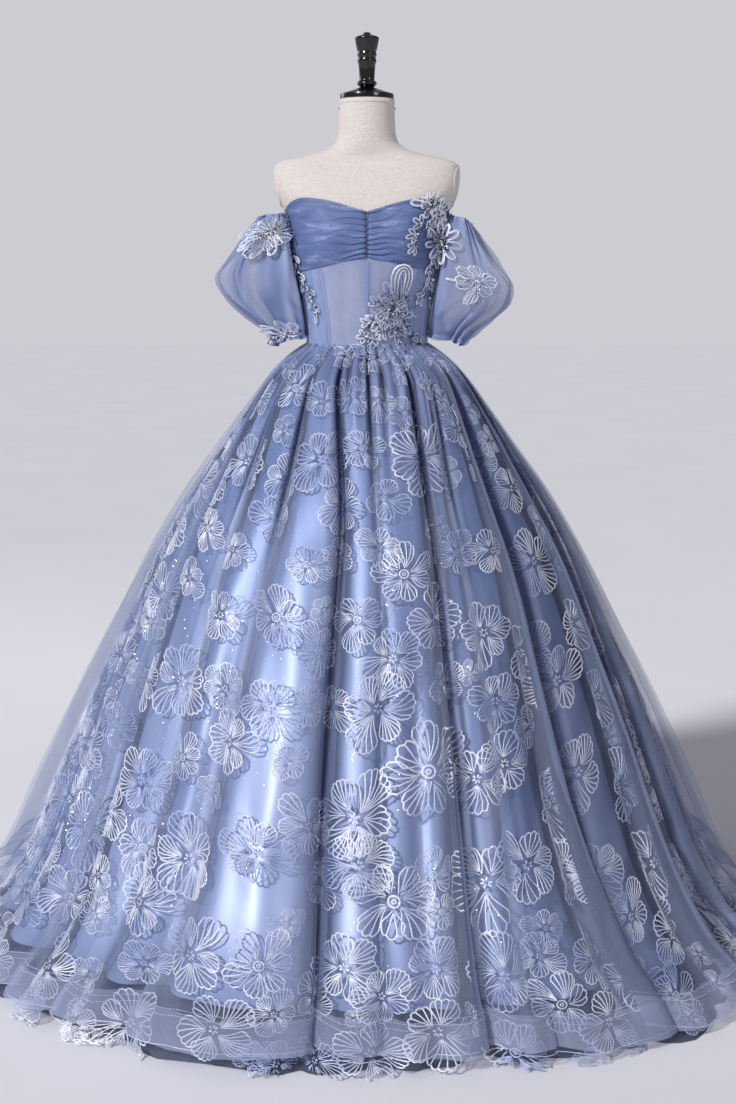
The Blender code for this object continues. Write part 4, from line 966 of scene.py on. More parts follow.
def sleeveSurface(side, out, folded=1.0):
    around = np.linspace(-180, 180, sleeveShape["columns"] + 1)
    turns, rings = side * around[:, None], np.linspace(0, 7, sleeveShape["rows"])[None, :]
    spin = np.radians(turns)
    deep = sleeveShape["drawnIn"]       # at the top edge and over the cuff
    drawn = -deep * np.exp(-((rings - 0.15) / 0.22) ** 2) - deep * np.exp(-((rings - 6.55) / 0.25) ** 2)
    drawn = drawn + sleeveShape["cuffWave"] * np.sin(spin * 13 + side) * np.clip((rings - 6.6) / 0.4, 0, 1)
    puff = 0.005 + 0.006 * np.sin(spin * 3 + rings * 0.9 + side) + 0.005 * np.sin(spin * 7 - rings * 1.7)
    outward = 0.5 + 0.5 * np.cos(spin)        # no puff where the sleeve lies along the body
    folds = sleeveFolds(side, turns, rings)
    sunk = folded * folds * sleeveShape["foldDepth"] * (0.15 + 0.85 * outward)
    distance = out + drawn + puff * np.sin(math.pi * rings / 7) * outward - sunk
    points = sleevePoint(side, turns, rings, distance)
    ends = np.exp(-(rings / 0.8) ** 2) + np.exp(-((rings - 6.7) / 0.7) ** 2)
    dense = 0.75 * np.clip(folds, 0, 1.2) + 0.40 * (1 - outward) + 0.35 * ends
    thin = np.exp(-((turns * side) / 50) ** 2) * np.exp(-((rings - 1.6) / 1.8) ** 2)     # clearest at the outer top
    return points, flatCloth(points, around, 0.0), np.clip(dense - 0.50 * thin, -0.6, 1)


def addSleeve(name, side, node):
    points, cloth, dense = sleeveSurface(side, 0.0)
    mesh = gridMesh(name, points[:-1], cloth, loop=True)
    # sunk: painted shade, darkening the tulle where its folds and its side next to the body are densest
    keepValues(mesh, drawn=dense[:-1], sunk=np.clip((dense[:-1] - 0.55) / 0.75, 0, 0.42))
    worn(newPiece(name, mesh, sleeveTulle), "sleeve_tulle", node)


addSleeve("sleeveLeft", 1, "sleeve_left")
addSleeve("sleeveRight", -1, "sleeve_right")
print("stage: sleeves are set in")

hemShape = {"braidTop": 1.075, "hem": 1.118, "braidOut": 0.0009, "seamsBelow": (0.0015, 0.0085), "seamOut": 0.0018,
            "edgeThick": 0.0016, "columns": 22,
            "stitch": {"Pitch": 0.0052, "Length": 0.0036, "Thickness": 0.0011, "Thread": sewingThread}}


def hemLine(places, drops, out):
    # points on the overskirt moved out from it
    def onSkirt(at, drop):
        return skirtPoint(at, drop - hemLift(at, drop), 0)
    points = onSkirt(places, drops)
    away = np.cross(onSkirt(places + 0.004, drops) - points, onSkirt(places, drops - 0.004) - points)
    away /= np.linalg.norm(away, axis=-1, keepdims=True)
    return points + away * out


for half, (first, last, centre) in halves.items():
    places = placesAround(first, last, skirtParts["overskirt"]["columns"])
    drops = np.linspace(hemShape["braidTop"], hemShape["hem"] - 0.0004, 8)
    points = hemLine(*np.broadcast_arrays(places[:, None], drops[None, :]), hemShape["braidOut"])
    mesh = gridMesh("hemBraid" + half, points, flatCloth(points, places, centre))
    worn(newPiece("hemBraid" + half, mesh, braidFinish), "horsehair_braid", "hem_braid_" + half.lower())
print("stage: hem braid is sewn")

# embroidery: flat motifs of cord, laid on the cloth through its own flat coordinates
motifShape = {"cord": 0.034, "ridge": 0.020, "ringRadii": ((0.13, 1.3), (0.045, 1.0)), "knot": 0.045,
              "longest": 1.12, "slim": 0.86}


def onCircle(radius, turn):
    return np.stack([radius * np.cos(turn), radius * np.sin(turn)], 1)


def drawFlower(dice, petals, ribs, ring, thick=motifShape["cord"], long=1.0):
    # one open flower of unit radius: every petal is a fan of cords joined by small arches
    cords, rims = [], []
    heading = dice.uniform(0, math.tau)
    tall = int(dice.integers(0, petals))
    for number in range(petals):
        middle = heading + math.tau * (number + dice.uniform(-0.12, 0.12)) / petals
        spread = math.tau / petals * dice.uniform(0.86, 1.10)
        reach, sway, lines = dice.uniform(0.76, 1.0), dice.uniform(-0.34, 0.34), ribs + int(dice.integers(-1, 2))
        reach = min(reach * long, motifShape["longest"])
        if number == tall:      # one petal is longer and narrower than the rest
            reach, spread = motifShape["longest"], spread * motifShape["slim"]
        lean, tips = dice.uniform(-0.14, 0.14), []
        for line in range(lines):
            side = line / (lines - 1) * 2 - 1
            rim = reach * (1 - 0.26 * abs(side + lean) ** 2.2) * (1 + dice.uniform(-0.03, 0.03))
            root = 0.16 + 0.04 * abs(side) + (dice.uniform(0, 0.14) if abs(side) < 0.95 else 0)
            u = np.linspace(0, 1, 4)
            fan = side * spread / 2 * (0.22 + 0.78 * np.sin(u * math.pi / 2) ** 0.75)
            turn = middle + fan + sway * (u - 0.6) * (1 - 0.3 * abs(side))
            cords.append((onCircle(root + (rim - root) * u, turn), thick * (0.70 + 0.35 * u)))
            tips.append(cords[-1][0][-1])
        for start, end in zip(tips, tips[1:]):
            u = np.linspace(0, 1, 4)[:, None]
            out = (start + end) / np.linalg.norm(start + end)
            arch = start * (1 - u) + end * u + out * np.linalg.norm(end - start) * 0.40 * np.sin(math.pi * u)
            cords.append((arch, np.full(4, thick * 1.25)))
        rims.append(np.array(tips))
    if ring:
        for far, wide in motifShape["ringRadii"]:
            cords.append((onCircle(far, np.linspace(0, math.tau, 11)), np.full(11, thick * wide)))
    else:
        for number in range(6):     # knots in the eye, each at the foot of a short stamen
            turn = number * math.tau / 6 + dice.uniform(-0.2, 0.2)
            cords.append((onCircle(np.array([0.05, 0.13]), turn), np.full(2, motifShape["knot"])))
    return cords, rims


def drawLoop(turn, near, far, wide, thick, lines):
    # an outlined petal: long loops, one inside the other
    made, way = [], np.linspace(0, math.tau, 17)
    swell = 0.5 - 0.5 * np.cos(way)
    for line in range(lines):
        along = near + (far - near) * (0.04 * line + (1 - 0.11 * line) * swell)
        across = wide / 2 * (1 - 0.34 * line) * np.sin(way) * (0.50 + 0.50 * swell)
        points = np.stack([along * math.cos(turn) - across * math.sin(turn),
                           along * math.sin(turn) + across * math.cos(turn)], 1)
        made.append((points, np.full(17, thick * (1.25 if line == 0 else 0.8))))
    return made


def drawSpray(dice, loops, thick, lines=2):
    # loops as (turn, length, width)
    cords, rims = [], []
    for turn, far, wide in loops:
        turn, far = turn + dice.uniform(-0.08, 0.08), far * dice.uniform(0.92, 1.05)
        petal = drawLoop(turn, 0.10, far, wide, thick, lines)
        cords += petal
        rims.append(petal[0][0][2:-2])
    return cords, rims


def drawStems(dice, count, thick):
    # fine lines side by side that end in small hooks
    cords, u = [], np.linspace(0, 1, 9)
    for number in range(count):
        aside = (number / max(count - 1, 1) - 0.5) * 0.34
        bend = dice.uniform(-0.10, 0.10)
        hook = 0.05 * np.clip(u - 0.85, 0, 1) * 6
        across = aside * (0.4 + 0.6 * u) + bend * u * u + hook
        cords.append((np.stack([u * (1 - 0.12 * abs(aside) * 6), across], 1), np.full(9, thick)))
    return cords, []


def cordMesh(name, cords, ridge=motifShape["ridge"], cup=0.0):
    # each cord becomes a narrow ridge; cup lifts the petals away from the cloth towards their tips
    corners, faces = [], []
    for line, width in cords:
        line = np.asarray(line, float)
        along = np.gradient(line, axis=0)
        along /= np.linalg.norm(along, axis=1, keepdims=True) + 1e-9
        beside = np.stack([-along[:, 1], along[:, 0]], 1) * (np.asarray(width) / 2)[:, None]
        lift = cup * np.linalg.norm(line, axis=1) ** 1.5
        base, count = len(corners), len(line)
        for k in range(count):
            corners += [(*(line[k] + beside[k]), lift[k]), (*line[k], lift[k] + ridge),
                        (*(line[k] - beside[k]), lift[k])]
        for here in range(base, base + (count - 1) * 3, 3):
            there = here + 3
            faces += [(here, here + 1, there + 1, there), (here + 1, here + 2, there + 2, there + 1)]
    return newMesh(name, corners, faces, True)


def webMesh(name, petals, cup):
    # the net left inside each petal
    corners, faces = [], []
    for rim in petals:
        root, base = rim.mean(0) * 0.22, len(corners)
        corners += [(x, y, cup * math.hypot(x, y) ** 1.5 - 0.006) for x, y in [root, *rim]]
        faces += [(base, base + k, base + k + 1) for k in range(1, len(rim))]
    return newMesh(name, corners, faces)


def motifShelf(name, meshes):
    # a collection outside the scene, from which the trees pick a motif by number
    shelf = bpy.data.collections.new(name)
    for number, mesh in enumerate(meshes):
        shelf.objects.link(bpy.data.objects.new(f"{name}{number:02d}", mesh))
    return shelf


def newTree(name, **sockets):
    # a geometry tree with named inputs after its start shape, and its output
    tree = bpy.data.node_groups.new(name, "GeometryNodeTree")
    tree.interface.new_socket("Geometry", in_out="OUTPUT", socket_type="NodeSocketGeometry")
    for title, kind in {"Geometry": "Geometry", **sockets}.items():
        tree.interface.new_socket(title, in_out="INPUT", socket_type="NodeSocket" + kind)
    return tree, addNode(tree, "NodeGroupInput").outputs, addNode(tree, "NodeGroupOutput").inputs[0]


def endTree(tree, geometry, finish, out):
    real = addNode(tree, "GeometryNodeRealizeInstances", {"Geometry": geometry})
    addNode(tree, "GeometryNodeSetMaterial", {"Geometry": real, "Material": finish}, out)
    return tree


def layOnCloth(tree, given, geometry):
    # moves points from flat cloth coordinates to the worn cloth, their height kept along its normal
    flat = addNode(tree, "GeometryNodeInputPosition")
    parts = addNode(tree, "ShaderNodeSeparateXYZ", {0: flat}).outputs
    spot = addNode(tree, "ShaderNodeCombineXYZ", {0: parts[0], 1: parts[1]})
    cloth = addNode(tree, "GeometryNodeObjectInfo", {"Object": given["Cloth"]}).outputs["Geometry"]
    chart = addNode(tree, "GeometryNodeInputNamedAttribute", {"Name": "cloth"}, data_type="FLOAT_VECTOR")
    place, normal = (
        addNode(tree, "GeometryNodeSampleUVSurface",
                {"Mesh": cloth, "Value": addNode(tree, field), "Source UV Map": chart, "Sample UV": spot},
                data_type="FLOAT_VECTOR").outputs
        for field in ("GeometryNodeInputPosition", "GeometryNodeInputNormal"))
    away = addNode(tree, "ShaderNodeMath", {0: parts[2], 1: given["Lift"]}, operation="ADD")
    raised = addNode(tree, "ShaderNodeVectorMath", {0: normal[0], "Scale": away}, operation="SCALE")
    target = addNode(tree, "ShaderNodeVectorMath", {0: place[0], 1: raised}, operation="ADD")
    missed = addNode(tree, "FunctionNodeBooleanMath", {0: place["Is Valid"]}, operation="NOT")
    kept = addNode(tree, "GeometryNodeStoreNamedAttribute",
                   {"Geometry": geometry, "Name": "offCloth", "Value": missed}, data_type="BOOLEAN")
    laid = addNode(tree, "GeometryNodeSetPosition", {"Geometry": kept, "Position": target})
    offCloth = addNode(tree, "GeometryNodeInputNamedAttribute", {"Name": "offCloth"}, data_type="BOOLEAN")
    return addNode(tree, "GeometryNodeDeleteGeometry", {"Geometry": laid, "Selection": offCloth})


def embroideryTree():
    tree, given, out = newTree("embroidery", Motifs="Collection", Cloth="Object", Lift="Float", Cord="Material")
    shelf = addNode(tree, "GeometryNodeCollectionInfo",
                    {"Collection": given["Motifs"], "Separate Children": True, "Reset Children": True})
    motif, turn, size = (addNode(tree, "GeometryNodeInputNamedAttribute", {"Name": word}, data_type=kind)
                         for word, kind in (("motif", "INT"), ("turn", "FLOAT"), ("size", "FLOAT")))
    spin = addNode(tree, "ShaderNodeCombineXYZ", {2: turn})
    motifs = addNode(tree, "GeometryNodeInstanceOnPoints", {
        "Points": given["Geometry"], "Instance": shelf, "Pick Instance": True, "Instance Index": motif,
        "Rotation": spin, "Scale": size})
    real = addNode(tree, "GeometryNodeRealizeInstances", {"Geometry": motifs})
    return endTree(tree, layOnCloth(tree, given, real), given["Cord"], out)


def beadTree():
    tree, given, out = newTree("beads", Cloth="Object", Lift="Float", Roundness="Int", Bead="Material")
    laid = layOnCloth(tree, given, given["Geometry"])
    size = addNode(tree, "GeometryNodeInputNamedAttribute", {"Name": "size"}, data_type="FLOAT")
    ball = addNode(tree, "GeometryNodeMeshIcoSphere", {"Radius": 0.5, "Subdivisions": given["Roundness"]})
    soft = addNode(tree, "GeometryNodeSetShadeSmooth", {"Geometry": ball})
    beads = addNode(tree, "GeometryNodeInstanceOnPoints", {"Points": laid, "Instance": soft, "Scale": size})
    return endTree(tree, beads, given["Bead"], out)


def stitchTree():
    tree, given, out = newTree("stitches", Pitch="Float", Length="Float", Thickness="Float", Thread="Material")
    path = addNode(tree, "GeometryNodeMeshToCurve", {"Mesh": given["Geometry"]})
    spaced = addNode(tree, "GeometryNodeCurveToPoints", {"Curve": path, "Length": given["Pitch"]}, mode="LENGTH")
    heading = addNode(tree, "FunctionNodeAlignRotationToVector", {"Vector": spaced.outputs["Tangent"]}, axis="Z")
    grain = addNode(tree, "GeometryNodeMeshCylinder", {"Vertices": 5, "Radius": 0.5, "Depth": 1.0}, fill_type="NONE")
    size = addNode(tree, "ShaderNodeCombineXYZ", {0: given["Thickness"], 1: given["Thickness"], 2: given["Length"]})
    row = addNode(tree, "GeometryNodeInstanceOnPoints",
                  {"Points": spaced.outputs["Points"], "Instance": grain, "Rotation": heading, "Scale": size})
    return endTree(tree, row, given["Thread"], out)


def glitterTree():
    tree, given, out = newTree("glitter", Density="Float", Size="Float", Seed="Int", Fleck="Material")
    spread = addNode(tree, "GeometryNodeDistributePointsOnFaces",
                     {"Mesh": given["Geometry"], "Density": given["Density"], "Seed": given["Seed"]}).outputs
    dot = addNode(tree, "GeometryNodeMeshCircle", {"Vertices": 5, "Radius": 0.5}, fill_type="NGON")
    dice = addNode(tree, "FunctionNodeRandomValue", {2: 0.5, 3: 1.0, "Seed": given["Seed"]}, data_type="FLOAT")
    size = addNode(tree, "ShaderNodeMath", {0: dice.outputs[1], 1: given["Size"]}, operation="MULTIPLY")
    flecks = addNode(tree, "GeometryNodeInstanceOnPoints", {
        "Points": spread["Points"], "Instance": dot, "Rotation": spread["Rotation"], "Scale": size})
    return endTree(tree, flecks, given["Fleck"], out)


def pipingTree():
    tree, given, out = newTree("piping", Thickness="Float", Thread="Material")
    path = addNode(tree, "GeometryNodeMeshToCurve", {"Mesh": given["Geometry"]})
    radius = addNode(tree, "ShaderNodeMath", {0: given["Thickness"], 1: 0.5}, operation="MULTIPLY")
    ring = addNode(tree, "GeometryNodeCurvePrimitiveCircle", {"Resolution": 4, "Radius": radius}, mode="RADIUS")
    cord = addNode(tree, "GeometryNodeCurveToMesh", {"Curve": path, "Profile Curve": ring})
    return endTree(tree, cord, given["Thread"], out)


embroidery, beads, stitches = embroideryTree(), beadTree(), stitchTree()
glitterScatter, piping = glitterTree(), pipingTree()


def pointMesh(places, **values):
    # loose points with their own numbers, for a tree to read
    mesh = newMesh("start", [(p[0], p[1], p[2] if len(p) > 2 else 0.0) for p in places], [])
    keepValues(mesh, **values)
    return mesh


def pathMesh(points, loop=False):
    count = len(points)
    mesh = bpy.data.meshes.new("path")
    steps = [(k, (k + 1) % count) for k in range(count if loop else count - 1)]
    mesh.from_pydata([tuple(p) for p in points], steps, [])
    return mesh


def inFrame(points):
    # where points fall in the frame, in its pixels, and the metres to a pixel there
    wide, high = studio["frame"]
    tilt = camera.rotation_euler[0]
    away = np.asarray(points, float) - np.array(camera.location)
    depth = away @ np.array([0, math.sin(tilt), -math.cos(tilt)])
    up = away @ np.array([0, math.cos(tilt), math.sin(tilt)])
    focal = cameraData.lens / cameraData.sensor_width * high
    return np.stack([wide / 2 + focal * away[..., 0] / depth, high / 2 - focal * up / depth, depth / focal], -1)


def clothSpot(points, cloth, x, y):
    # the cloth place that shows at a spot of the frame, on the near side, and the metres to a pixel there
    seen = inFrame(points)
    pixels, nearness = 1735, 30     # pixels to a metre, and how much it counts that a place is near
    miss = (seen[..., 0] - x) ** 2 + (seen[..., 1] - y) ** 2 + (seen[..., 2] * pixels) ** 2 * nearness
    at = np.unravel_index(np.argmin(miss), miss.shape)
    return cloth[at], float(seen[at][2])


netShape = {
    # petals, ribs, and whether the eye is a ring
    "motifs": ((6, 6, True), (5, 8, False), (7, 5, True), (5, 7, False), (6, 7, False), (7, 6, False)),
    "flowerRadius": (0.050, 0.080), "crowding": 0.84, "tries": 9000, "hemRadius": (0.052, 0.072), "hemDrop": 1.100,
    "lift": 0.0012, "reach": 1.14, "highLine": 470, "highReach": 1.32,     # flowers above this line are larger
    "seeds": {"Front": 3, "Back": 4}, "bunches": 3, "hostDrops": (1.125, 1.132, 1.139, 1.145),
    "hemSpacing": (0.86, 1.04), "hemCrowding": 0.70, "hemJitter": 0.022, "topGap": 0.04, "hemGap": 0.02,
}
motifDice = np.random.default_rng(40)
netMotifs = motifShelf("netMotif", [
    cordMesh(f"netMotif{k}", drawFlower(motifDice, *motif)[0]) for k, motif in enumerate(netShape["motifs"])])

# front flowers as (x, y, radius) in pixels of the frame
frontFlowers = [
    (262, 395, 17), (290, 366, 11), (322, 356, 10), (353, 398, 17), (380, 402, 15), (404, 416, 14),
    (402, 372, 10), (426, 382, 11), (440, 400, 12), (466, 412, 13), (490, 436, 13), (476, 466, 19),
    (420, 460, 31), (446, 474, 18), (322, 456, 25), (285, 432, 13), (248, 462, 23), (222, 430, 14),
    (275, 517, 23), (208, 532, 22), (165, 538, 17), (234, 552, 19), (383, 498, 22), (380, 545, 23),
    (434, 530, 13), (456, 552, 24), (493, 548, 26), (513, 492, 26), (533, 560, 34), (562, 518, 18),
    (590, 582, 15), (402, 578, 31), (340, 556, 19), (305, 560, 22), (188, 582, 20), (163, 600, 27),
    (275, 618, 30), (325, 606, 14), (358, 624, 27), (150, 622, 18), (122, 652, 24), (86, 692, 18),
    (136, 672, 15), (181, 679, 36), (225, 685, 24), (270, 707, 29), (229, 746, 30), (308, 706, 22),
    (335, 702, 22), (377, 709, 37), (80, 738, 27), (118, 722, 22), (140, 780, 34), (180, 762, 22),
    (50, 775, 24), (90, 828, 36), (40, 845, 30), (143, 848, 30), (190, 864, 38), (211, 792, 18),
    (256, 848, 35), (286, 762, 19), (305, 824, 32), (352, 822, 42), (357, 868, 36), (320, 884, 22),
    (68, 892, 32), (102, 872, 20), (28, 885, 20), (137, 906, 33), (93, 922, 20), (8, 930, 24),
    (194, 956, 38), (256, 965, 36), (288, 922, 18), (342, 964, 36), (50, 965, 36), (92, 968, 22),
    (276, 1012, 25), (30, 1000, 24), (132, 1018, 40), (206, 1036, 38), (16, 1016, 20), (72, 1024, 24),
    (94, 1040, 18), (254, 1058, 20), (279, 1068, 30), (314, 1060, 30), (370, 1056, 36), (356, 1012, 12),
    (393, 657, 30), (427, 775, 46), (440, 682, 22), (484, 632, 30), (470, 672, 12), (496, 706, 29),
    (520, 650, 30), (532, 728, 22), (506, 766, 30), (478, 784, 32), (548, 802, 32), (553, 677, 36),
    (577, 770, 34), (570, 622, 26), (598, 697, 26), (617, 786, 31), (614, 736, 10), (620, 648, 18),
    (638, 706, 18), (660, 806, 18), (395, 906, 43), (382, 1002, 31), (436, 872, 24), (440, 918, 20),
    (489, 880, 42), (528, 869, 35), (505, 975, 39), (540, 962, 24), (546, 928, 20), (562, 872, 28),
    (562, 1012, 34), (438, 1036, 40), (470, 1024, 20), (515, 1056, 38), (600, 870, 34), (653, 861, 36),
    (675, 936, 30), (628, 977, 33), (677, 990, 29), (688, 872, 26), (640, 1046, 20), (592, 1062, 16),
    (690, 1016, 18), (702, 958, 15), (715, 985, 18)]

def netHost(half):
    # a wider copy of the net, so that a flower on the seam isn't cut
    first, last, centre = halves[half]
    places = placesAround(first - 1, last + 1, 18)
    drops = np.concatenate([np.linspace(0.0, 1, 78) ** 1.35 * 1.118, netShape["hostDrops"]])
    points = skirtPoint(places[:, None], drops[None, :], 1)
    return places, drops, points, flatCloth(points, places, centre)


def scatterFlowers(half):
    places, drops, points, cloth = netHost(half)
    dice = np.random.default_rng(netShape["seeds"][half])
    along, down = cloth[..., 0], -cloth[0, :, 1]
    edges = [np.array([np.interp(seam, places, along[:, k]) for k in range(len(drops))]) for seam in halves[half][:2]]
    found = []     # along, down, radius
    hem = float(np.interp(netShape["hemDrop"], drops, down))

    def isClear(x, y, radius, crowding):
        return all((x - a) ** 2 + (y - b) ** 2 > (crowding * (radius + r)) ** 2 for a, b, r in found)

    for x, y, radius in frontFlowers if half == "Front" else ():
        spot, metres = clothSpot(points, cloth, x, y)
        larger = netShape["highReach"] if y < netShape["highLine"] else 1.0
        found.append((float(spot[0]), float(-spot[1]), radius * metres * netShape["reach"] * larger))
    left, right = (float(np.interp(hem, down, edge)) for edge in edges)
    spot = left + 0.03
    while spot < right - 0.02:      # the row that makes the scalloped edge
        radius = dice.uniform(*netShape["hemRadius"])
        x, y = spot + radius, hem + dice.uniform(-netShape["hemJitter"], netShape["hemJitter"])
        spot += radius * 2 * dice.uniform(*netShape["hemSpacing"])
        if isClear(x, y, radius, netShape["hemCrowding"]):
            found.append((x, y, radius))
    for _ in range(netShape["tries"]):
        y = (dice.uniform(0.0, 1.0) ** 0.7) * (hem - netShape["hemGap"])
        low, high = (float(np.interp(y, down, edge)) for edge in edges)
        x, radius = dice.uniform(low, high), dice.uniform(*netShape["flowerRadius"])
        radius *= 0.70 + 0.30 * min(y / 0.45, 1)
        if y > netShape["topGap"] and isClear(x, y, radius, netShape["crowding"]):
            found.append((x, y, radius))
    return found, points, cloth


def embroiderNet(half):
    found, points, cloth = scatterFlowers(half)
    host = newPiece("netHost", gridMesh("netHost", points, cloth))
    dice = np.random.default_rng(9)
    bunches = netShape["bunches"]
    for bunch in range(bunches):
        low, high = np.quantile([f[0] for f in found], [bunch / bunches, (bunch + 1) / bunches])
        part = [f for f in found if low <= f[0] < high + (1e-6 if bunch == bunches - 1 else 0)]
        start = pointMesh([(x, -y) for x, y, _ in part], motif=dice.integers(0, len(netShape["motifs"]), len(part)),
                          turn=dice.uniform(0, math.tau, len(part)), size=[r for _, _, r in part])
        given = {"Motifs": netMotifs, "Cloth": host, "Lift": netShape["lift"], "Cord": silverCord}
        worn(realized(f"netFlowers{half}{bunch}", start, embroidery, given), "silver_cord")
        print("flowers", half, bunch, len(part))
    bpy.data.objects.remove(host)


for half in halves:
    embroiderNet(half)
print("stage: net is embroidered")

# corded flowers and beads sewn on the bodice and the sleeves
blossomDice = np.random.default_rng(77)
blossoms = [    # cords and petal rims, and how far the petals rise
    (*drawFlower(blossomDice, 9, 4, False, 0.028, 1.1), 0.18),
    (*drawSpray(blossomDice, [(k * math.tau / 5, 0.95, 0.66) for k in range(5)], 0.050), 0.14),
    (*drawFlower(blossomDice, 6, 4, False, 0.036, 1.05), 0.14),
    (*drawSpray(blossomDice, [(-0.75, 0.85, 0.40), (0.0, 1.0, 0.44), (0.75, 0.85, 0.40)], 0.058), 0.12),
    (*drawSpray(blossomDice, [(0.0, 1.0, 0.46)], 0.050), 0.08),
    (*drawStems(blossomDice, 4, 0.030), 0.02),
    (*drawSpray(blossomDice, [(0.0, 1.0, 0.66)], 0.036, 3), 0.06),
    (*drawSpray(blossomDice, [(0.0, 1.3, 0.14)], 0.040), 0.04)]
blossomMotifs = motifShelf("blossom", [cordMesh(f"blossom{k}", cords, 0.030, cup)
                                       for k, (cords, _, cup) in enumerate(blossoms)])
blossomWebs = motifShelf("blossomWeb", [webMesh(f"blossomWeb{k}", petals, cup)
                                        for k, (_, petals, cup) in enumerate(blossoms)])

applique = {    # host, CAD nodes, share of dark beads, motifs as (x, y, radius in pixels of the frame, turn, motif)
    "neckSpray": ("bodice", ["applique_shoulder_left"], 1.4, [
        (427, 205, 17, 3.05, 4), (432, 206, 14, 0.5, 1), (440, 212, 14, 2.0, 1), (428, 203, 11, 1.9, 3),
        (446, 220, 13, 5.7, 3), (436, 216, 12, 3.9, 1), (434, 202, 12, 1.15, 5), (433, 226, 13, 4.2, 1),
        (432, 262, 14, 4.0, 4), (422, 224, 13, 2.8, 3), (417, 235, 12, 3.5, 3), (415, 246, 11, 3.9, 3),
        (440, 228, 13, 1.0, 3), (447, 230, 12, 0.2, 1), (436, 256, 13, 5.2, 1)]),
    "sideChain": ("bodice", ["applique_side_right"], 1.0, [
        (290, 249, 14, 4.1, 4), (294, 257, 13, 5.9, 4), (296, 265, 14, 4.0, 4), (299, 273, 13, 5.8, 4),
        (303, 281, 13, 4.2, 4), (307, 289, 13, 5.9, 4), (311, 297, 12, 4.3, 4), (313, 304, 12, 5.6, 4),
        (316, 311, 12, 4.5, 4)]),
    "waistSpray": ("bodice", ["applique_waist"], 1.7, [
        (397, 309, 43, 1.52, 6), (402, 309, 36, 1.60, 5), (390, 301, 19, 2.0, 4), (390, 312, 18, 0.7, 0),
        (379, 320, 13, 3.0, 1), (402, 317, 13, 0.3, 1), (404, 327, 12, 5.8, 3), (396, 331, 12, 4.9, 1),
        (384, 331, 11, 4.2, 3), (366, 336, 12, 3.3, 3), (374, 338, 9, 4.0, 1), (412, 338, 11, 5.9, 3),
        (420, 342, 8, 0.2, 3), (400, 340, 9, 4.7, 3), (378, 306, 12, 2.3, 3), (369, 323, 11, 2.8, 3)]),
    "hangingSpray": ("bodice", [], 1.4, [
        (430, 272, 13, 4.6, 4), (427, 284, 14, 4.3, 4), (432, 281, 12, 5.0, 3), (423, 296, 13, 3.9, 3),
        (429, 298, 12, 5.3, 4)]),
    "sleeveTopFlower": ("sleeveRight", ["applique_shoulder_right"], 0.5, [
        (272, 233, 28, 0.9, 0), (272, 234, 22, 0.5, 0), (271, 238, 24, 4.50, 4), (276, 238, 22, 5.05, 4),
        (265, 237, 24, 3.90, 4), (263, 231, 20, 3.2, 3)]),
    "cuffFlower": ("sleeveRight", ["applique_cuff_right"], 0.3, [
        (287, 332, 18, 1.2, 1), (284, 336, 24, 1.95, 4), (289, 336, 25, 1.45, 4), (294, 335, 22, 0.95, 4),
        (275, 338, 15, 3.1, 3), (269, 335, 14, 2.5, 3), (277, 343, 13, 4.0, 3), (267, 341, 12, 3.5, 3)]),
    "sleeveFlower": ("sleeveLeft", ["applique_sleeve_left"], 0.5, [
        (474, 281, 21, 1.2, 2), (466, 283, 14, 3.1, 7), (477, 290, 14, 4.9, 4)]),
    "shoulderFlower": ("shoulder", [], 1.2, [
        (442, 242, 19, 0.55, 4), (442, 243, 20, 6.10, 4), (442, 244, 19, 5.45, 4), (441, 245, 19, 4.75, 4),
        (440, 244, 17, 4.05, 4), (440, 243, 16, 3.30, 4), (440, 242, 17, 2.45, 4), (441, 241, 18, 1.75, 4),
        (442, 241, 17, 1.15, 4), (441, 243, 8, 0.3, 1)]),
}
sewnShape = {"lift": 0.0008, "beadLift": 0.0006, "beadRise": 0.14}
beadKinds = {   # finish, beads to 16 pixels of radius, widths, distance from the eye in radii, roundness
    "Pearls": (pearl, 4, (0.0026, 0.0040), (0, 0.20), 2),
    "SilverBeads": (silverBead, 16, (0.0014, 0.0022), (0.05, 0.60), 1),
    "NavyBeads": (navyBead, 13, (0.0022, 0.0038), (0.05, 0.60), 1),
}


def bodiceHost():
    angles, rises = np.linspace(-98, 98, 150)[:, None], np.linspace(-0.012, 0.330, 110)[None, :]
    out = 0.0064 - 0.0045 * np.clip((rises - bodiceEdge(angles, neckline)) / 0.010, 0, 1)
    cloth = np.stack(np.broadcast_arrays(np.radians(angles) * 0.140, rises), -1)
    return overForm(angles, rises, out), cloth


def shoulderHost(bodice, sleeve):
    # a patch over the bodice's edge and the front of the left sleeve
    x, rise = np.broadcast_arrays(np.linspace(0.085, 0.225, 57)[:, None], np.linspace(0.150, 0.290, 57)[None, :])
    height = waistHeight + rise
    under = np.concatenate([bodice.reshape(-1, 3), sleeve.reshape(-1, 3)]).astype(np.float32)
    rises = under[:, 2] - waistHeight
    under = under[(under[:, 0] > 0.075) & (under[:, 1] < 0) & (rises > 0.14) & (rises < 0.30)]
    miss = np.hypot(x[..., None].astype(np.float32) - under[:, 0], height[..., None].astype(np.float32) - under[:, 2])
    front = np.where(miss < 0.0060, -under[:, 1], 0).max(-1)
    soft = front.copy()
    for _ in range(14):
        soft[1:-1] = (soft[:-2] + 2 * soft[1:-1] + soft[2:]) / 4
        soft[:, 1:-1] = (soft[:, :-2] + 2 * soft[:, 1:-1] + soft[:, 2:]) / 4
    return np.stack([x, -np.maximum(soft, front) - 0.0015, height], -1), np.stack([x, rise], -1)


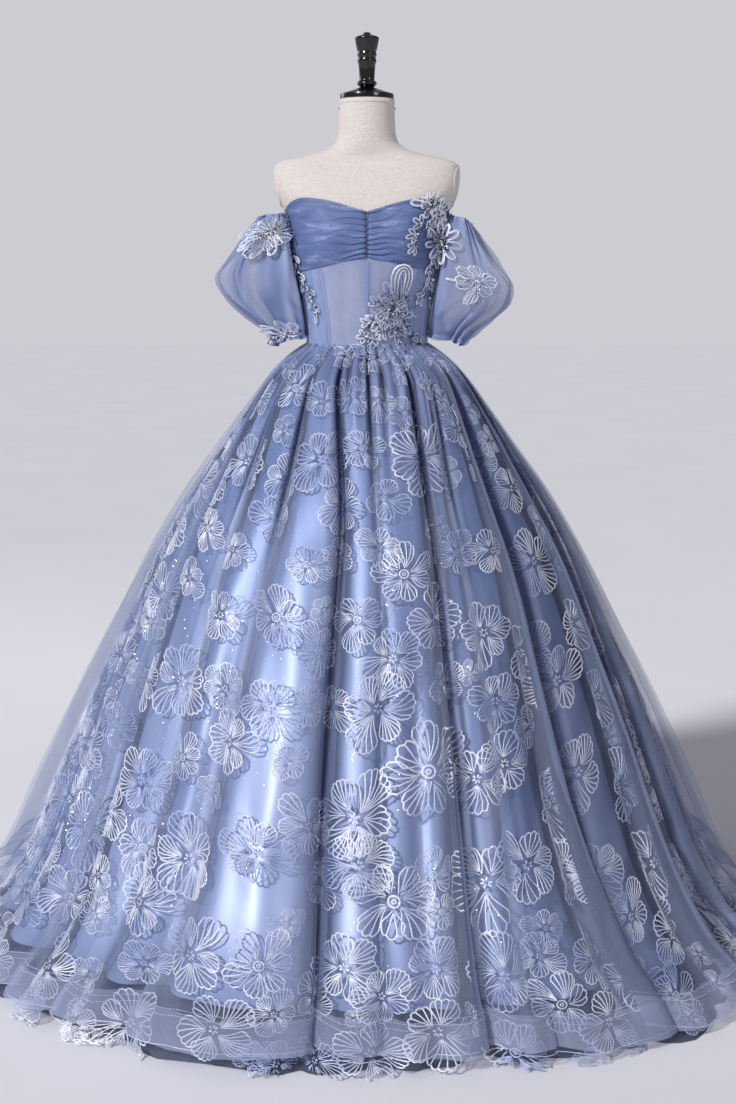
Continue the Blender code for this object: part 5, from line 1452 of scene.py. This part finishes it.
def addBeads(name, laid, host, dice, darkness):
    for kind, (finish, share, widths, spread, roundness) in beadKinds.items():
        places, sizes = [], []
        if kind == "NavyBeads":
            share *= darkness
        for place, metres, radius, _, _ in laid:
            for _ in range(max(2, int(share * radius / 16))):
                far, way = radius * metres * dice.uniform(*spread), dice.uniform(0, math.tau)
                across, down = far * math.cos(way), far * math.sin(way)
                high = sewnShape["lift"] + sewnShape["beadRise"] * far
                places.append((place[0] + across, place[1] + down, high))
                sizes.append(dice.uniform(*widths))
        given = {"Cloth": host, "Lift": sewnShape["beadLift"], "Roundness": roundness, "Bead": finish}
        worn(realized(name + kind, pointMesh(places, size=sizes), beads, given), "silver_cord")


def addAppliques():
    gap = sleeveShape["appliqueGap"]
    hosts = {"bodice": bodiceHost(), "sleeveLeft": sleeveSurface(1, gap, 0.15)[:2],
             "sleeveRight": sleeveSurface(-1, gap, 0.15)[:2]}
    hosts["shoulder"] = shoulderHost(hosts["bodice"][0], sleeveSurface(1, gap)[0])
    for order, (name, (hostName, nodes, darkness, spots)) in enumerate(applique.items()):
        points, cloth = hosts[hostName]
        host = newPiece("host", gridMesh("host", points, cloth))
        dice = np.random.default_rng(60 + order)
        laid = [(*clothSpot(points, cloth, x, y), radius, turn, motif) for x, y, radius, turn, motif in spots]
        numbers = {"motif": [m for *_, m in laid], "turn": [t for *_, t, _ in laid],
                   "size": [radius * metres for _, metres, radius, _, _ in laid]}
        for word, shelf, finish, slotName in (("", blossomMotifs, beadCord, "silver_cord"),
                                              ("Net", blossomWebs, appliqueNet, "lace_net")):
            given = {"Motifs": shelf, "Cloth": host, "Lift": sewnShape["lift"], "Cord": finish}
            made = realized(name + word, pointMesh([place for place, *_ in laid], **numbers), embroidery, given)
            worn(made, slotName, *(() if word else nodes))
        addBeads(name, laid, host, dice, darkness)
        bpy.data.objects.remove(host)


addAppliques()
print("stage: appliques and beads are sewn on")

hemFolds = placesAround(0, foldCount, hemShape["columns"])[:-1]


def roundTheHem(drop, out):
    return pathMesh(hemLine(hemFolds, np.full(len(hemFolds), drop), out), True)


for number, below in enumerate(hemShape["seamsBelow"]):
    line = roundTheHem(hemShape["braidTop"] + below, hemShape["seamOut"])
    worn(realized(f"braidStitches{number}", line, stitches, hemShape["stitch"]), "silver_cord")
edgeLine = roundTheHem(hemShape["hem"] - 0.0006, 0.0006)
worn(realized("hemEdge", edgeLine, piping, {"Thickness": hemShape["edgeThick"], "Thread": sewingThread}), "silver_cord")
seamShape = {
    "rows": (  # angle, top, distance from the form: two rows beside each boning channel and the zip
        (35.9, 0.140, 0.0046), (40.1, 0.140, 0.0046), (-35.9, 0.140, 0.0046), (-40.1, 0.140, 0.0046),
        (-1.9, 0.158, 0.0041), (1.9, 0.158, 0.0041), (177.2, 0.220, 0.0045), (182.8, 0.220, 0.0045)),
    "stitch": {"Pitch": 0.0042, "Length": 0.0029, "Thickness": 0.0008, "Thread": sewingThread},
}
for number, (angle, top, out) in enumerate(seamShape["rows"]):
    line = overForm(np.full(40, angle), np.linspace(0.004, top, 40), np.full(40, out))
    worn(realized(f"seamStitches{number}", pathMesh(line), stitches, seamShape["stitch"]), "silver_cord")
glitterShape = {"Density": 1500.0, "Size": 0.0015, "Seed": 5, "Fleck": glitter}     # flecks to a square metre
for half in halves:
    under = bpy.data.objects["overskirt" + half].data.copy()
    worn(realized("glitter" + half, under, glitterScatter, glitterShape), "overskirt_tulle")
print("stage: stitches and glitter are on")
